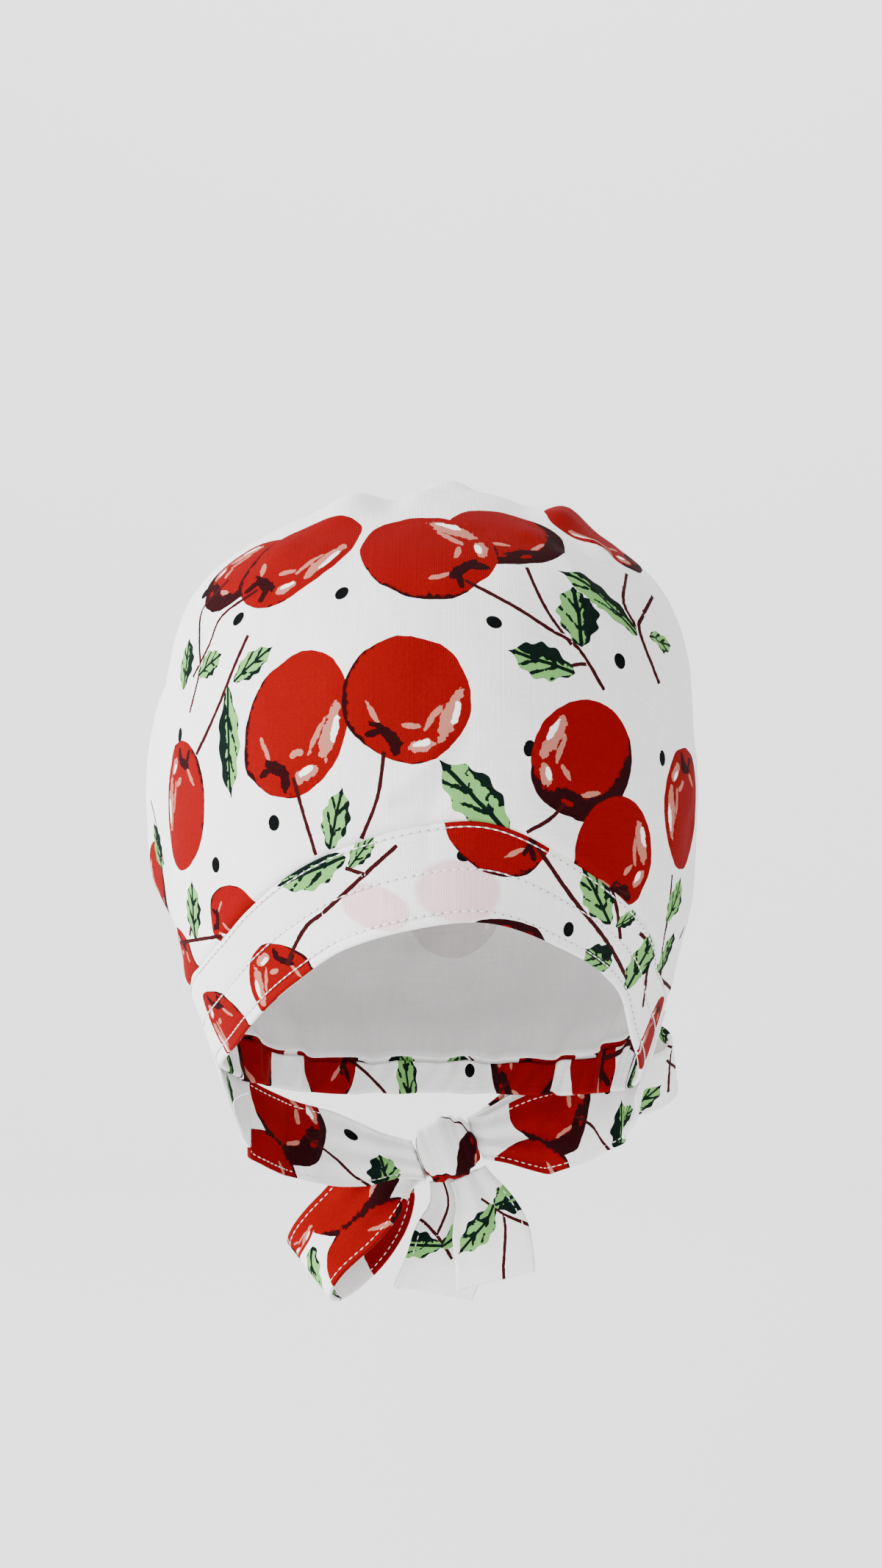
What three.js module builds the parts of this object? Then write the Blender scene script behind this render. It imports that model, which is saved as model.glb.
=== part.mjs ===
// Scrub cap worn on a head: a soft printed crown with a pouch behind, an arched
// brim band across the forehead, a gathered casing under the nape and two wide
// ties that meet behind in a drooping bow.
// Millimetres, +Z up, the forehead faces -Y and the wearer's left side is +X.
// The origin is the middle of the head opening.

import * as THREE from "three";

// Sizes of the opening that the head fills
const openingBreadth = 149; // across, above the ears
const openingShift = -1; // the opening sits this far to the side of the crown's middle
const foreheadReach = 95; // from the origin forward to the brim's edge
const napeReach = 86; // from the origin back to the casing's edge
const openingRoundness = 2; // exponent of the opening's plan, 2 is an ellipse

// Sizes of the crown
const crownHeight = 184; // from the origin up to the crown's top, without its folds
const crownHalfWidth = 95;
const crownFront = 98; // from the origin forward to the fullest part of the front
const crownBack = 130; // from the origin back to the fullest part of the pouch
const crownRoundness = 2.2; // exponent of the crown's plan
const crownWall = 1.5;
const foldWidth = 9; // half-width of a common fold
const foldRise = 4; // height of a common fold
const tuckHeight = 15; // the crown puffs out over its seam within this height
const tuckDepth = 7; // deepest tuck at the seam

// Sizes of the strips sewn to the crown
const bandWidth = 31; // brim band, from its edge up to the seam
const bandWall = 2;
const casingDepth = 13; // gathered casing, from its edge up to the seam
const casingWall = 2.4;
const bandEndLeft = 94.5; // where the band ends beside the head, degrees from the front
const bandEndRight = 99;
const gatherCount = 22; // gathers round the nape
const gatherRise = 1.6;
const gatherHeight = 34; // the gathers run out this far above the casing
const gatherReach = 55; // degrees either side of the middle behind with full gathers
const gatherFade = 30; // and the degrees over which they run out

// Sizes of the ties and the bow
const tieWidth = 31;
const tieWall = 1.4;
const layerSpacing = 1.7; // from the middle of a loop to each layer at the knot
const knotWidth = 25;
const knotHeight = 25;
const knotDepth = 19;
const knotTilt = 22; // degrees, the bow hangs lower on one side
const knotSquareness = 0.72; // exponent of the knot's section, 1 is round
const knotOffset = 5; // from the middle plane
const knotDrop = 64; // below the origin
const knotSeat = 0.42; // the knot's middle lies this share of its depth behind the nape
const knotInset = 0.7; // the ties end this far inside the knot's widest sides
const loopSeat = 0.2; // the loops and tails leave the knot at these shares of its
const outerTailSeat = 0.22; // depth behind its middle
const innerTailSeat = -0.14;
const tailSeat = 4; // from the knot's middle sideways to each tail
const tailSlant = 0.14; // share of a tail's length that its cut end slants over
const gatheredTieWidth = 15; // width of a tie where the knot holds it
const gatheredShare = 0.28; // a tie draws in to the knot over this share of its length
const openedShare = 0.6; // a loop or tail has its full width from this share of its length
const loopLengthRight = 87;
const loopLengthLeft = 71;
const loopSpread = 10.5; // half the gap between a loop's two layers
const loopRollRight = 42; // degrees that a loop has rolled over at its end
const loopRollLeft = 35;
const tailLengthLeft = 50;
const tailLengthRight = 46;

// Clearance between sewn neighbours
const seamGap = 0.8;
const tieClearance = 0.6;

// Faces along each piece. The crown's columns go on down the strips sewn to it.
const crownColumns = 80;
const crownRows = 21;
const bandRows = 4;
const casingRows = 2;
const tieColumns = 20;
const tieRows = 4;
const loopColumns = 26;
const loopRows = 5;
const tailColumns = 9;
const tailRows = 4;
const knotSides = 18;
const knotRings = 10;

const printedCotton = 0xf3f1ef;

// Plan of the crown at each height, from under the nape to the top. The height is a
// share of crownHeight, front of crownFront, back of crownBack, and left and right of
// crownHalfWidth.
const crownSections = [
  { height: -0.41, front: 0.88, back: 0.51, left: 0.61, right: 0.59 },
  { height: -0.26, front: 0.93, back: 0.63, left: 0.73, right: 0.71 },
  { height: -0.11, front: 0.96, back: 0.75, left: 0.81, right: 0.8 },
  { height: 0.03, front: 0.97, back: 0.87, left: 0.89, right: 0.89 },
  { height: 0.185, front: 0.98, back: 0.95, left: 0.955, right: 0.94 },
  { height: 0.35, front: 0.995, back: 1.0, left: 0.98, right: 0.965 },
  { height: 0.51, front: 1.0, back: 0.99, left: 0.99, right: 0.965 },
  { height: 0.66, front: 0.97, back: 0.915, left: 0.965, right: 0.945 },
  { height: 0.795, front: 0.85, back: 0.775, left: 0.885, right: 0.85 },
  { height: 0.897, front: 0.63, back: 0.585, left: 0.67, right: 0.655 },
  { height: 0.967, front: 0.34, back: 0.325, left: 0.38, right: 0.39 },
  { height: 1.0, front: 0, back: 0, left: 0, right: 0 },
];

// Folds of the cloth as lines through three points. A point's x is a share of
// crownHalfWidth, y of crownFront or crownBack, and z of crownHeight. The width is in
// foldWidth and the rise in foldRise, negative for a hollow.
const crownFolds = [
  {
    name: "left ridge",
    from: [-0.31, -0.51, 0.945],
    via: [-0.28, 0, 0.99],
    to: [-0.26, 0.35, 0.955],
    width: 1,
    rise: 0.7,
  },
  {
    name: "left hollow",
    from: [-0.16, -0.51, 0.965],
    via: [-0.15, 0, 0.995],
    to: [-0.14, 0.31, 0.98],
    width: 0.8,
    rise: -0.75,
  },
  {
    name: "middle ridge",
    from: [0.06, 0.05, 1.0],
    via: [0.065, 0.27, 0.985],
    to: [0.07, 0.58, 0.9],
    width: 1.15,
    rise: 1.45,
  },
  {
    name: "right hollow",
    from: [0.33, -0.41, 0.955],
    via: [0.34, 0, 0.98],
    to: [0.34, 0.31, 0.965],
    width: 0.8,
    rise: -0.4,
  },
  {
    name: "right ridge",
    from: [0.45, -0.36, 0.925],
    via: [0.48, 0, 0.95],
    to: [0.5, 0.31, 0.925],
    width: 1,
    rise: 1,
  },
  {
    name: "right front crease",
    from: [0.42, -0.67, 0.89],
    via: [0.58, -0.59, 0.86],
    to: [0.74, -0.55, 0.76],
    width: 0.9,
    rise: -0.65,
  },
  {
    name: "left pleat",
    from: [-0.93, 0, 0.66],
    via: [-0.97, 0.06, 0.42],
    to: [-0.93, 0.06, 0.12],
    width: 0.9,
    rise: -1.5,
  },
  {
    name: "left pouch",
    from: [-0.88, 0.45, 0.55],
    via: [-0.93, 0.42, 0.41],
    to: [-0.88, 0.4, 0.29],
    width: 3.5,
    rise: 5.3,
  },
  {
    name: "back pleat left",
    from: [-0.3, 0.7, 0.8],
    via: [-0.34, 0.93, 0.5],
    to: [-0.3, 0.93, 0.2],
    width: 1.4,
    rise: -1.1,
  },
  {
    name: "back pleat right",
    from: [0.36, 0.68, 0.8],
    via: [0.42, 0.9, 0.5],
    to: [0.36, 0.9, 0.2],
    width: 1.4,
    rise: -1.1,
  },
];

// Edge of the brim round the front. The azimuth is in degrees from the front towards
// +X, the edge's height a share of crownHeight, the depth of bandWidth, and the tuck
// of tuckDepth.
const brimLine = [
  { azimuth: -97, edge: -0.114, depth: 0.87, tuck: 0.15 },
  { azimuth: -75, edge: -0.076, depth: 0.8, tuck: 0.05 },
  { azimuth: -58, edge: -0.035, depth: 0.85, tuck: 0.05 },
  { azimuth: -47, edge: 0.014, depth: 0.86, tuck: 0.1 },
  { azimuth: -38, edge: 0.06, depth: 0.95, tuck: 0.15 },
  { azimuth: -30, edge: 0.101, depth: 1.0, tuck: 0.15 },
  { azimuth: -17, edge: 0.165, depth: 0.98, tuck: 0.2 },
  { azimuth: 0, edge: 0.206, depth: 0.98, tuck: 0.2 },
  { azimuth: 12, edge: 0.208, depth: 0.96, tuck: 0.2 },
  { azimuth: 28, edge: 0.16, depth: 0.83, tuck: 0.2 },
  { azimuth: 43, edge: 0.106, depth: 0.66, tuck: 0.2 },
  { azimuth: 54, edge: 0.054, depth: 0.57, tuck: 0.45 },
  { azimuth: 62, edge: -0.02, depth: 0.72, tuck: 0.75 },
  { azimuth: 76, edge: -0.076, depth: 0.84, tuck: 0.7 },
  { azimuth: 97, edge: -0.14, depth: 0.87, tuck: 0.15 },
];

// Edge of the casing round the back, with the same columns, but the depth is a share
// of casingDepth.
const casingLine = [
  { azimuth: 122, edge: -0.18, depth: 1.25, tuck: 0.75 },
  { azimuth: 150, edge: -0.21, depth: 1.0, tuck: 1.0 },
  { azimuth: 180, edge: -0.217, depth: 1.0, tuck: 1.0 },
  { azimuth: 210, edge: -0.207, depth: 1.0, tuck: 1.0 },
  { azimuth: 240, edge: -0.16, depth: 1.25, tuck: 0.6 },
];

// Middle of each tie from the band's end to the knot. The share along runs from 0 to 1,
// the drop below the origin is a share of knotDrop and the slack is in mm.
const tieLineRight = [
  { along: 0, drop: 0.25, slack: 0.2 },
  { along: 0.15, drop: 0.42, slack: 5 },
  { along: 0.38, drop: 0.64, slack: 6 },
  { along: 0.73, drop: 0.86, slack: 5 },
  { along: 1, drop: 0.93, slack: 4 },
];
const tieLineLeft = [
  { along: 0, drop: 0.17, slack: 0.2 },
  { along: 0.16, drop: 0.45, slack: 2 },
  { along: 0.36, drop: 0.7, slack: 3 },
  { along: 0.68, drop: 0.93, slack: 4 },
  { along: 1, drop: 1.07, slack: 4 },
];

// Middle lines of the bow's pieces, from the knot outwards, in shares of their length.
const loopSpineRight = [
  { x: 0, y: 0, z: 0 },
  { x: 0.3, y: 0.08, z: 0.13 },
  { x: 0.62, y: 0.07, z: 0.28 },
  { x: 0.91, y: -0.02, z: 0.34 },
];
const loopSpineLeft = [
  { x: 0, y: 0, z: 0 },
  { x: -0.17, y: 0.05, z: -0.1 },
  { x: -0.36, y: 0.03, z: -0.38 },
  { x: -0.6, y: -0.08, z: -0.62 },
];
const tailSpineRight = [
  { x: 0, y: 0, z: 0 },
  { x: 0.14, y: -0.04, z: -0.28 },
  { x: 0.22, y: -0.14, z: -0.62 },
  { x: 0.24, y: -0.2, z: -0.95 },
];
const tailSpineLeft = [
  { x: 0, y: 0, z: 0 },
  { x: 0.05, y: -0.01, z: -0.28 },
  { x: -0.02, y: -0.1, z: -0.62 },
  { x: -0.16, y: -0.16, z: -0.95 },
];

const radians = THREE.MathUtils.degToRad;
const lerp = THREE.MathUtils.lerp;
const clamp = THREE.MathUtils.clamp;
const smoothstep = THREE.MathUtils.smoothstep;
const up = new THREE.Vector3(0, 0, 1);
const yAxis = new THREE.Vector3(0, 1, 0);

// Cubic through three neighbours on each side of x, for rows sorted by one column.
function readTable(rows, column, x, keys) {
  let i = rows.findIndex((row) => row[column] > x) - 1;
  if (i < 0) i = x < rows[0][column] ? 0 : rows.length - 2;
  const [a, b] = [rows[i], rows[i + 1]];
  const before = rows[i - 1] ?? a;
  const after = rows[i + 2] ?? b;
  const step = b[column] - a[column];
  const t = (x - a[column]) / step;
  const value = {};
  for (const key of keys) {
    const slopeA = ((b[key] - before[key]) / (b[column] - before[column])) * step;
    const slopeB = ((after[key] - a[key]) / (after[column] - a[column])) * step;
    const rise = b[key] - a[key];
    value[key] =
      a[key] + t * (slopeA + t * (3 * rise - 2 * slopeA - slopeB + t * (slopeA + slopeB - 2 * rise)));
  }
  return value;
}

// The crown's sections in mm, with the row below the top mirrored past it so that the
// top closes as a dome.
const sectionRows = crownSections.map((row, index) => ({
  level: index,
  z: row.height * crownHeight,
  front: row.front * crownFront,
  back: row.back * crownBack,
  left: row.left * crownHalfWidth,
  right: row.right * crownHalfWidth,
}));
const topLevel = sectionRows.length - 1;
const belowTop = sectionRows[topLevel - 1];
sectionRows.push({
  level: topLevel + 1,
  z: belowTop.z,
  front: -belowTop.front,
  back: -belowTop.back,
  left: -belowTop.left,
  right: -belowTop.right,
});
const sectionAt = (level) =>
  readTable(sectionRows, "level", level, ["z", "front", "back", "left", "right"]);

function levelAtHeight(z) {
  let [low, high] = [0, topLevel];
  for (let i = 0; i < 30; i++) {
    const middle = (low + high) / 2;
    if (sectionAt(middle).z < z) low = middle;
    else high = middle;
  }
  return (low + high) / 2;
}

// Distance from the axis to a rounded plan with its own reach in each direction.
function planRadius(azimuth, front, back, left, right, roundness) {
  const across = Math.abs(Math.sin(azimuth)) / Math.max(Math.sin(azimuth) > 0 ? right : left, 1e-6);
  const along = Math.abs(Math.cos(azimuth)) / Math.max(Math.cos(azimuth) > 0 ? front : back, 1e-6);
  return (across ** roundness + along ** roundness) ** (-1 / roundness);
}
const aroundAxis = (azimuth, radius, z) =>
  new THREE.Vector3(radius * Math.sin(azimuth), -radius * Math.cos(azimuth), z);

function smoothCrown(azimuth, level) {
  const { z, front, back, left, right } = sectionAt(level);
  return aroundAxis(azimuth, planRadius(azimuth, front, back, left, right, crownRoundness), z);
}

function crownNormal(azimuth, level) {
  const step = 0.02; // in radians and in levels
  const near = Math.min(level, topLevel - step);
  const along = smoothCrown(azimuth + step, near).sub(smoothCrown(azimuth - step, near));
  const upward = smoothCrown(azimuth, near + step).sub(smoothCrown(azimuth, near - step));
  return along.cross(upward).normalize();
}

const foldLines = crownFolds.map(({ from, via, to, width, rise }) => ({
  points: [from, via, to].map(
    ([x, y, z]) =>
      new THREE.Vector3(x * crownHalfWidth, y * (y < 0 ? crownFront : crownBack), z * crownHeight),
  ),
  width: width * foldWidth,
  rise: rise * foldRise,
}));

function foldHeight(point) {
  let height = 0;
  const nearest = new THREE.Vector3();
  for (const { points, width, rise } of foldLines) {
    const distances = [0, 1].map((i) =>
      new THREE.Line3(points[i], points[i + 1]).closestPointToPoint(point, true, nearest).distanceTo(point),
    );
    height += rise * Math.exp(-((Math.min(...distances) / width) ** 2));
  }
  return height;
}

// Edge and seam lines round the whole opening, azimuth in degrees from -97 to 263.
const rimRows = [
  ...brimLine.map((row) => ({ ...row, depth: row.depth * bandWidth })),
  ...casingLine.map((row) => ({ ...row, depth: row.depth * casingDepth })),
  { ...brimLine[0], azimuth: brimLine[0].azimuth + 360, depth: brimLine[0].depth * bandWidth },
];
function rimAt(degrees) {
  const start = rimRows[0].azimuth;
  const wrapped = start + THREE.MathUtils.euclideanModulo(degrees - start, 360);
  const { edge, depth, tuck } = readTable(rimRows, "azimuth", wrapped, ["edge", "depth", "tuck"]);
  return { edge: edge * crownHeight, seam: edge * crownHeight + depth, tuck: tuck * tuckDepth };
}

const gatherAt = (degrees) => {
  const fromBehind = Math.abs(THREE.MathUtils.euclideanModulo(degrees, 360) - 180);
  const fade = 1 - smoothstep(fromBehind, gatherReach, gatherReach + gatherFade);
  return fade * gatherRise * Math.cos(radians(degrees) * gatherCount);
};

// A point of the crown's outer face. The share runs from 0 at the seam to 1 at the top.
function crownPoint(degrees, share) {
  const azimuth = radians(degrees);
  const rim = rimAt(degrees);
  const level = lerp(levelAtHeight(rim.seam), topLevel, share);
  const point = smoothCrown(azimuth, level);
  const normal = share === 1 ? up : crownNormal(azimuth, level);
  const above = point.z - rim.seam;
  const tuck = rim.tuck * Math.exp(-((above / tuckHeight) ** 2));
  const gather = gatherAt(degrees) * Math.exp(-((above / gatherHeight) ** 2));
  const offset = foldHeight(point) + gather;
  const outward = aroundAxis(azimuth, 1, 0);
  return point.addScaledVector(normal, offset).addScaledVector(outward, -tuck);
}

function edgePoint(degrees) {
  const azimuth = radians(degrees);
  const half = openingBreadth / 2;
  const [left, right] = [half - openingShift, half + openingShift];
  const radius = planRadius(azimuth, foreheadReach, napeReach, left, right, openingRoundness);
  return aroundAxis(azimuth, radius, rimAt(degrees).edge);
}

// A strip between the edge and the seam: share 0 is the edge and 1 the seam.
function stripPoint(degrees, share) {
  const seam = crownPoint(degrees, 0);
  const edge = edgePoint(degrees);
  const length = seam.distanceTo(edge);
  const gathered = gatherAt(degrees);
  const point = edge.lerp(seam, share * (1 - seamGap / length));
  return point.addScaledVector(aroundAxis(radians(degrees), 1, 0), gathered * (1 - share));
}

// Distance from the axis of the strips' outer face, carried on below their edge.
function stripRadius(degrees, z) {
  const seam = crownPoint(degrees, 0);
  const edge = edgePoint(degrees);
  const share = clamp((z - edge.z) / (seam.z - edge.z), -1, 1);
  return lerp(Math.hypot(edge.x, edge.y), Math.hypot(seam.x, seam.y), share);
}

// A closed cloth wall on a grid of points, with its outer and inner face at the given
// distances from the grid. pointAt takes two shares, along and across. The wall may
// close round its length and end across in one point, and its thickness is level on
// the first levelRows rows, so that pieces sewn edge to edge meet squarely.
function clothWall(pointAt, columns, rows, outer, inner, options = {}) {
  const { closed = false, pole = false, levelRows = 0 } = options;
  const grid = [];
  const columnCount = closed ? columns : columns + 1;
  for (let i = 0; i < columnCount; i++) {
    grid.push([]);
    for (let j = 0; j <= rows; j++) grid[i].push(pointAt(i / columns, j / rows));
  }
  const at = (i, j) => {
    const column = closed ? (i + columns) % columns : clamp(i, 0, columns);
    return grid[column][clamp(j, 0, rows)];
  };
  const faces = [outer, -inner].map((distance) =>
    grid.map((column, i) =>
      column.map((point, j) => {
        const along = at(i + 1, j).clone().sub(at(i - 1, j));
        const across = at(i, j + 1).clone().sub(at(i, j - 1));
        const normal = pole && j === rows ? up.clone() : along.cross(across);
        if (j < levelRows) normal.setZ(0);
        normal.normalize();
        return point.clone().addScaledVector(normal, distance);
      }),
    ),
  );
  const positions = [];
  const numberOf = faces.map((face) =>
    face.map((column, i) =>
      column.map((point, j) => {
        if (pole && j === rows && i > 0) return null;
        positions.push(point.x, point.y, point.z);
        return positions.length / 3 - 1;
      }),
    ),
  );
  const vertex = (face, i, j) => {
    const column = pole && j === rows ? 0 : i % columnCount;
    return numberOf[face][column][j];
  };
  const index = [];
  const quad = (a, b, c, d) => {
    if (a !== b) index.push(a, b, c);
    if (c !== d) index.push(a, c, d);
  };
  for (let i = 0; i < columns; i++) {
    for (let j = 0; j < rows; j++) {
      const corners = [[i, j], [i + 1, j], [i + 1, j + 1], [i, j + 1]];
      const [a, b, c, d] = corners.map(([k, l]) => vertex(0, k, l));
      const [e, f, g, h] = corners.map(([k, l]) => vertex(1, k, l));
      quad(a, b, c, d);
      if (e !== f) index.push(e, g, f);
      if (g !== h) index.push(e, h, g);
    }
    quad(vertex(1, i, 0), vertex(1, i + 1, 0), vertex(0, i + 1, 0), vertex(0, i, 0));
    if (!pole) {
      quad(vertex(0, i, rows), vertex(0, i + 1, rows), vertex(1, i + 1, rows), vertex(1, i, rows));
    }
  }
  if (!closed) {
    for (let j = 0; j < rows; j++) {
      quad(vertex(1, 0, j + 1), vertex(1, 0, j), vertex(0, 0, j), vertex(0, 0, j + 1));
      const end = columns;
      quad(vertex(1, end, j), vertex(1, end, j + 1), vertex(0, end, j + 1), vertex(0, end, j));
    }
  }
  const geometry = new THREE.BufferGeometry();
  geometry.setAttribute("position", new THREE.Float32BufferAttribute(positions, 3));
  geometry.setIndex(index);
  geometry.computeVertexNormals();
  return geometry;
}

const columnAngle = 360 / crownColumns;
const bandFirst = -Math.round(bandEndLeft / columnAngle);
const bandLast = Math.round(bandEndRight / columnAngle);

function crownGeometry() {
  const pointAt = (along, share) => crownPoint(360 * along, share);
  const options = { closed: true, pole: true, levelRows: 1 };
  return clothWall(pointAt, crownColumns, crownRows, 0, crownWall, options);
}

// A strip that hangs from the crown's seam, from one of the crown's columns to another,
// with its first or last column drawn back where it meets another strip end to end.
function stripGeometry(first, last, rows, wall, drawnBack) {
  const columns = last - first;
  const gapShare = THREE.MathUtils.radToDeg((drawnBack * 2) / openingBreadth) / columnAngle;
  const pointAt = (along, share) => {
    const column = clamp(first + along * columns, first + gapShare, last - gapShare);
    return stripPoint(column * columnAngle, share);
  };
  return clothWall(pointAt, columns, rows, 0, wall, { levelRows: rows + 1 });
}
const brimBandGeometry = () => stripGeometry(bandFirst, bandLast, bandRows, bandWall, 0);
const napeCasingGeometry = () =>
  stripGeometry(bandLast, crownColumns + bandFirst, casingRows, casingWall, seamGap);

// Middle of the knot: it lies on the ends of the two ties.
const backRadius = stripRadius(180, -knotDrop);
const knotCentre = new THREE.Vector3(
  knotOffset,
  backRadius + tieClearance + knotDepth * knotSeat,
  -knotDrop,
);
const knotTurn = radians(knotTilt);

// side is 1 for the tie on the +X side and -1 for the other.
function tieGeometry(rows, side) {
  const start = (side > 0 ? bandLast : -bandFirst) * columnAngle;
  const knotSide = (knotWidth / 2) * Math.cos(knotTurn) + tieClearance - knotInset;
  const knotEnd = side * (knotWidth / 2) * Math.sin(knotTurn) - knotDrop;
  const pointAt = (along, across) => {
    const { drop, slack } = readTable(rows, "along", along, ["drop", "slack"]);
    const width = lerp(tieWidth, gatheredTieWidth, smoothstep(along, 1 - gatheredShare, 1));
    const z = -drop * knotDrop + (across - 0.5) * width;
    const reach = knotSide + side * (knotOffset - Math.tan(knotTurn) * (z - knotEnd) * along);
    const behind = backRadius + tieClearance + slack;
    const end = 180 - THREE.MathUtils.radToDeg(Math.asin(reach / behind));
    const degrees = lerp(start, end, along);
    const radius = stripRadius(side * degrees, z) + tieClearance + slack;
    return aroundAxis(side * radians(degrees), radius, z);
  };
  const ordered = side > 0 ? pointAt : (along, across) => pointAt(1 - along, across);
  return clothWall(ordered, tieColumns, tieRows, tieWall, 0);
}

function knotGeometry() {
  const geometry = new THREE.SphereGeometry(1, knotSides, knotRings);
  geometry.deleteAttribute("normal");
  geometry.deleteAttribute("uv");
  const position = geometry.getAttribute("position");
  const soften = (value) => Math.sign(value) * Math.abs(value) ** knotSquareness;
  for (let i = 0; i < position.count; i++) {
    position.setXYZ(
      i,
      (soften(position.getX(i)) * knotWidth) / 2,
      (-soften(position.getZ(i)) * knotDepth) / 2,
      (soften(position.getY(i)) * knotHeight) / 2,
    );
  }
  return geometry;
}

// A spine of the bow, from a start beside the knot given in the knot's own turned frame.
function bowSpine(shares, length, startX, startY, startZ) {
  const start = new THREE.Vector3(startX, startY, startZ)
    .applyAxisAngle(yAxis, -knotTurn)
    .add(knotCentre);
  const points = shares.map(({ x, y, z }) =>
    new THREE.Vector3(x, y, z).multiplyScalar(length).add(start),
  );
  const curve = new THREE.CatmullRomCurve3(points);
  return (share) => ({
    point: curve.getPoint(share),
    across: curve.getTangent(share).cross(yAxis).setY(0).normalize(),
  });
}

// A loop leaves the knot, turns round at its end and comes back under itself.
function loopGeometry(shares, length, side, roll) {
  const beside = side * (knotWidth / 2 + tieClearance);
  const spine = bowSpine(shares, length, beside, knotDepth * loopSeat, 0);
  return clothWall(
    (along, across) => {
      const reach = Math.sin(Math.PI * along);
      const { point, across: widthwise } = spine(reach);
      const width = lerp(gatheredTieWidth, tieWidth, smoothstep(reach, 0, openedShare));
      const opened = loopSpread * Math.sin(2 * Math.PI * along);
      const layers = opened + layerSpacing * Math.cos(Math.PI * along);
      const turn = radians(roll) * smoothstep(reach, 0, 1);
      const sideways = (across - 0.5) * width;
      return point
        .addScaledVector(widthwise, sideways * Math.cos(turn) + layers * Math.sin(turn))
        .addScaledVector(yAxis, layers * Math.cos(turn) - sideways * Math.sin(turn));
    },
    loopColumns,
    loopRows,
    tieWall / 2,
    tieWall / 2,
  );
}

// A tail hangs from under the knot and ends in a slanted cut.
function tailGeometry(shares, length, startX, startY) {
  const spine = bowSpine(shares, length, startX, startY, -knotHeight / 2);
  return clothWall(
    (along, across) => {
      const reach = along * (1 - tailSlant * across);
      const { point, across: widthwise } = spine(reach);
      const width = lerp(gatheredTieWidth, tieWidth, smoothstep(reach, 0, openedShare));
      return point.addScaledVector(widthwise, (across - 0.5) * width);
    },
    tailColumns,
    tailRows,
    tieWall / 2,
    tieWall / 2,
  );
}

const cap = new THREE.Group();
cap.name = "scrub_cap";

function addPiece(name, geometry) {
  const material = new THREE.MeshStandardMaterial({
    color: printedCotton,
    roughness: 0.9,
    metalness: 0,
  });
  const mesh = new THREE.Mesh(geometry, material);
  mesh.name = name;
  cap.add(mesh);
  return mesh;
}

const outerTailDepth = knotDepth * outerTailSeat;
const innerTailDepth = knotDepth * innerTailSeat;

addPiece("crown", crownGeometry());
addPiece("brim_band", brimBandGeometry());
addPiece("nape_casing", napeCasingGeometry());
addPiece("tie_right", tieGeometry(tieLineRight, 1));
addPiece("tie_left", tieGeometry(tieLineLeft, -1));
const knot = addPiece("bow_knot", knotGeometry());
knot.position.copy(knotCentre);
knot.rotation.y = -knotTurn;
addPiece("bow_loop_right", loopGeometry(loopSpineRight, loopLengthRight, 1, loopRollRight));
addPiece("bow_loop_left", loopGeometry(loopSpineLeft, loopLengthLeft, -1, loopRollLeft));
addPiece("bow_tail_left", tailGeometry(tailSpineLeft, tailLengthLeft, -tailSeat, outerTailDepth));
addPiece("bow_tail_right", tailGeometry(tailSpineRight, tailLengthRight, tailSeat, innerTailDepth));

export default cap;
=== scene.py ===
# A scrub cap of cherry-print cotton in its worn form, with the ties knotted behind.
import math
from functools import partial

import bmesh
import bpy
import numpy as np
from mathutils import Matrix, Vector, noise
from mathutils.bvhtree import BVHTree


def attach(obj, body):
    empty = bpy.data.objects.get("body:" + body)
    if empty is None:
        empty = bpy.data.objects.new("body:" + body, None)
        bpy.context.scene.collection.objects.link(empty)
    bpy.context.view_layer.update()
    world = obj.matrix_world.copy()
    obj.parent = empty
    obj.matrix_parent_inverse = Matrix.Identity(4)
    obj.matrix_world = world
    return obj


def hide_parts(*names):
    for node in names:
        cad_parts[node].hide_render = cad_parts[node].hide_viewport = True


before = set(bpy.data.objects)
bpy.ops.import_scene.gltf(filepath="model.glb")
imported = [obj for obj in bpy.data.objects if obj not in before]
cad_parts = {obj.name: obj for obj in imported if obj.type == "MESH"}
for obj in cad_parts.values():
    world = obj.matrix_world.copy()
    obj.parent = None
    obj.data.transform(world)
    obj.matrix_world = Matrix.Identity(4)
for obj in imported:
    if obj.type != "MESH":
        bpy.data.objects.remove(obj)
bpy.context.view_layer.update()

# The cap is cut and sewn in millimetres, and every mesh gets its points in metres.
mm = 0.001

# The camera stands in front of the forehead and looks straight back.
camera_point = np.array([2.6, -750, 81])
focal_pixels = 2885
image_height = 2134
sensor_height = 36

# Opening that the head fills
opening_breadth = 149
opening_shift = -1
forehead_reach = 95
nape_reach = 86

# Crown
crown_height = 184
crown_half_width = 95
crown_front = 98
crown_back = 130
crown_roundness = 2.2
crown_wall = 1.0
crown_middle = (0, 15, 70)
fold_width = 9
fold_rise = 4
tuck_height = 15
tuck_depth = 7

# Strips sewn to the crown
band_width = 31
casing_depth = 13
band_ends = (-94.5, 99.0)
hem_radius = 0.95
strip_wall = 0.7
facing_share = 0.52
# Stitched rows as shares of the way from the edge to the seam, or across a strap
band_rows = (0.955, facing_share, 0.09)
casing_rows = (0.9, 0.15)
strap_rows = (0.07, 0.93)
gather_count = 22
gather_rise = 1.6
gather_height = 34
gather_reach = 55
gather_fade = 30

# Ties and bow
tie_width = 31
tie_wall = 1.3
knot_size = (25, 19, 25)
knot_tilt = 22
knot_squareness = 0.72
knot_offset = 5
knot_drop = 64
knot_seat = 0.42
gathered_tie_width = 15
gathered_share = 0.28
opened_share = 0.6
loop_lengths = {"right": 87, "left": 71}
loop_rolls = {"right": 42, "left": 35}
loop_spread = 10.5
loop_seat = 0.2
layer_spacing = 1.7
tail_lengths = {"right": 46, "left": 50}
tail_seats = {"right": (4, -0.14), "left": (-4, 0.22)}
tail_slant = 0.14
tie_clearance = 0.6
# How far the ties and the bow's pieces run into the knot
tie_bite = 0.4
bow_bite = 0.6

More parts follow.
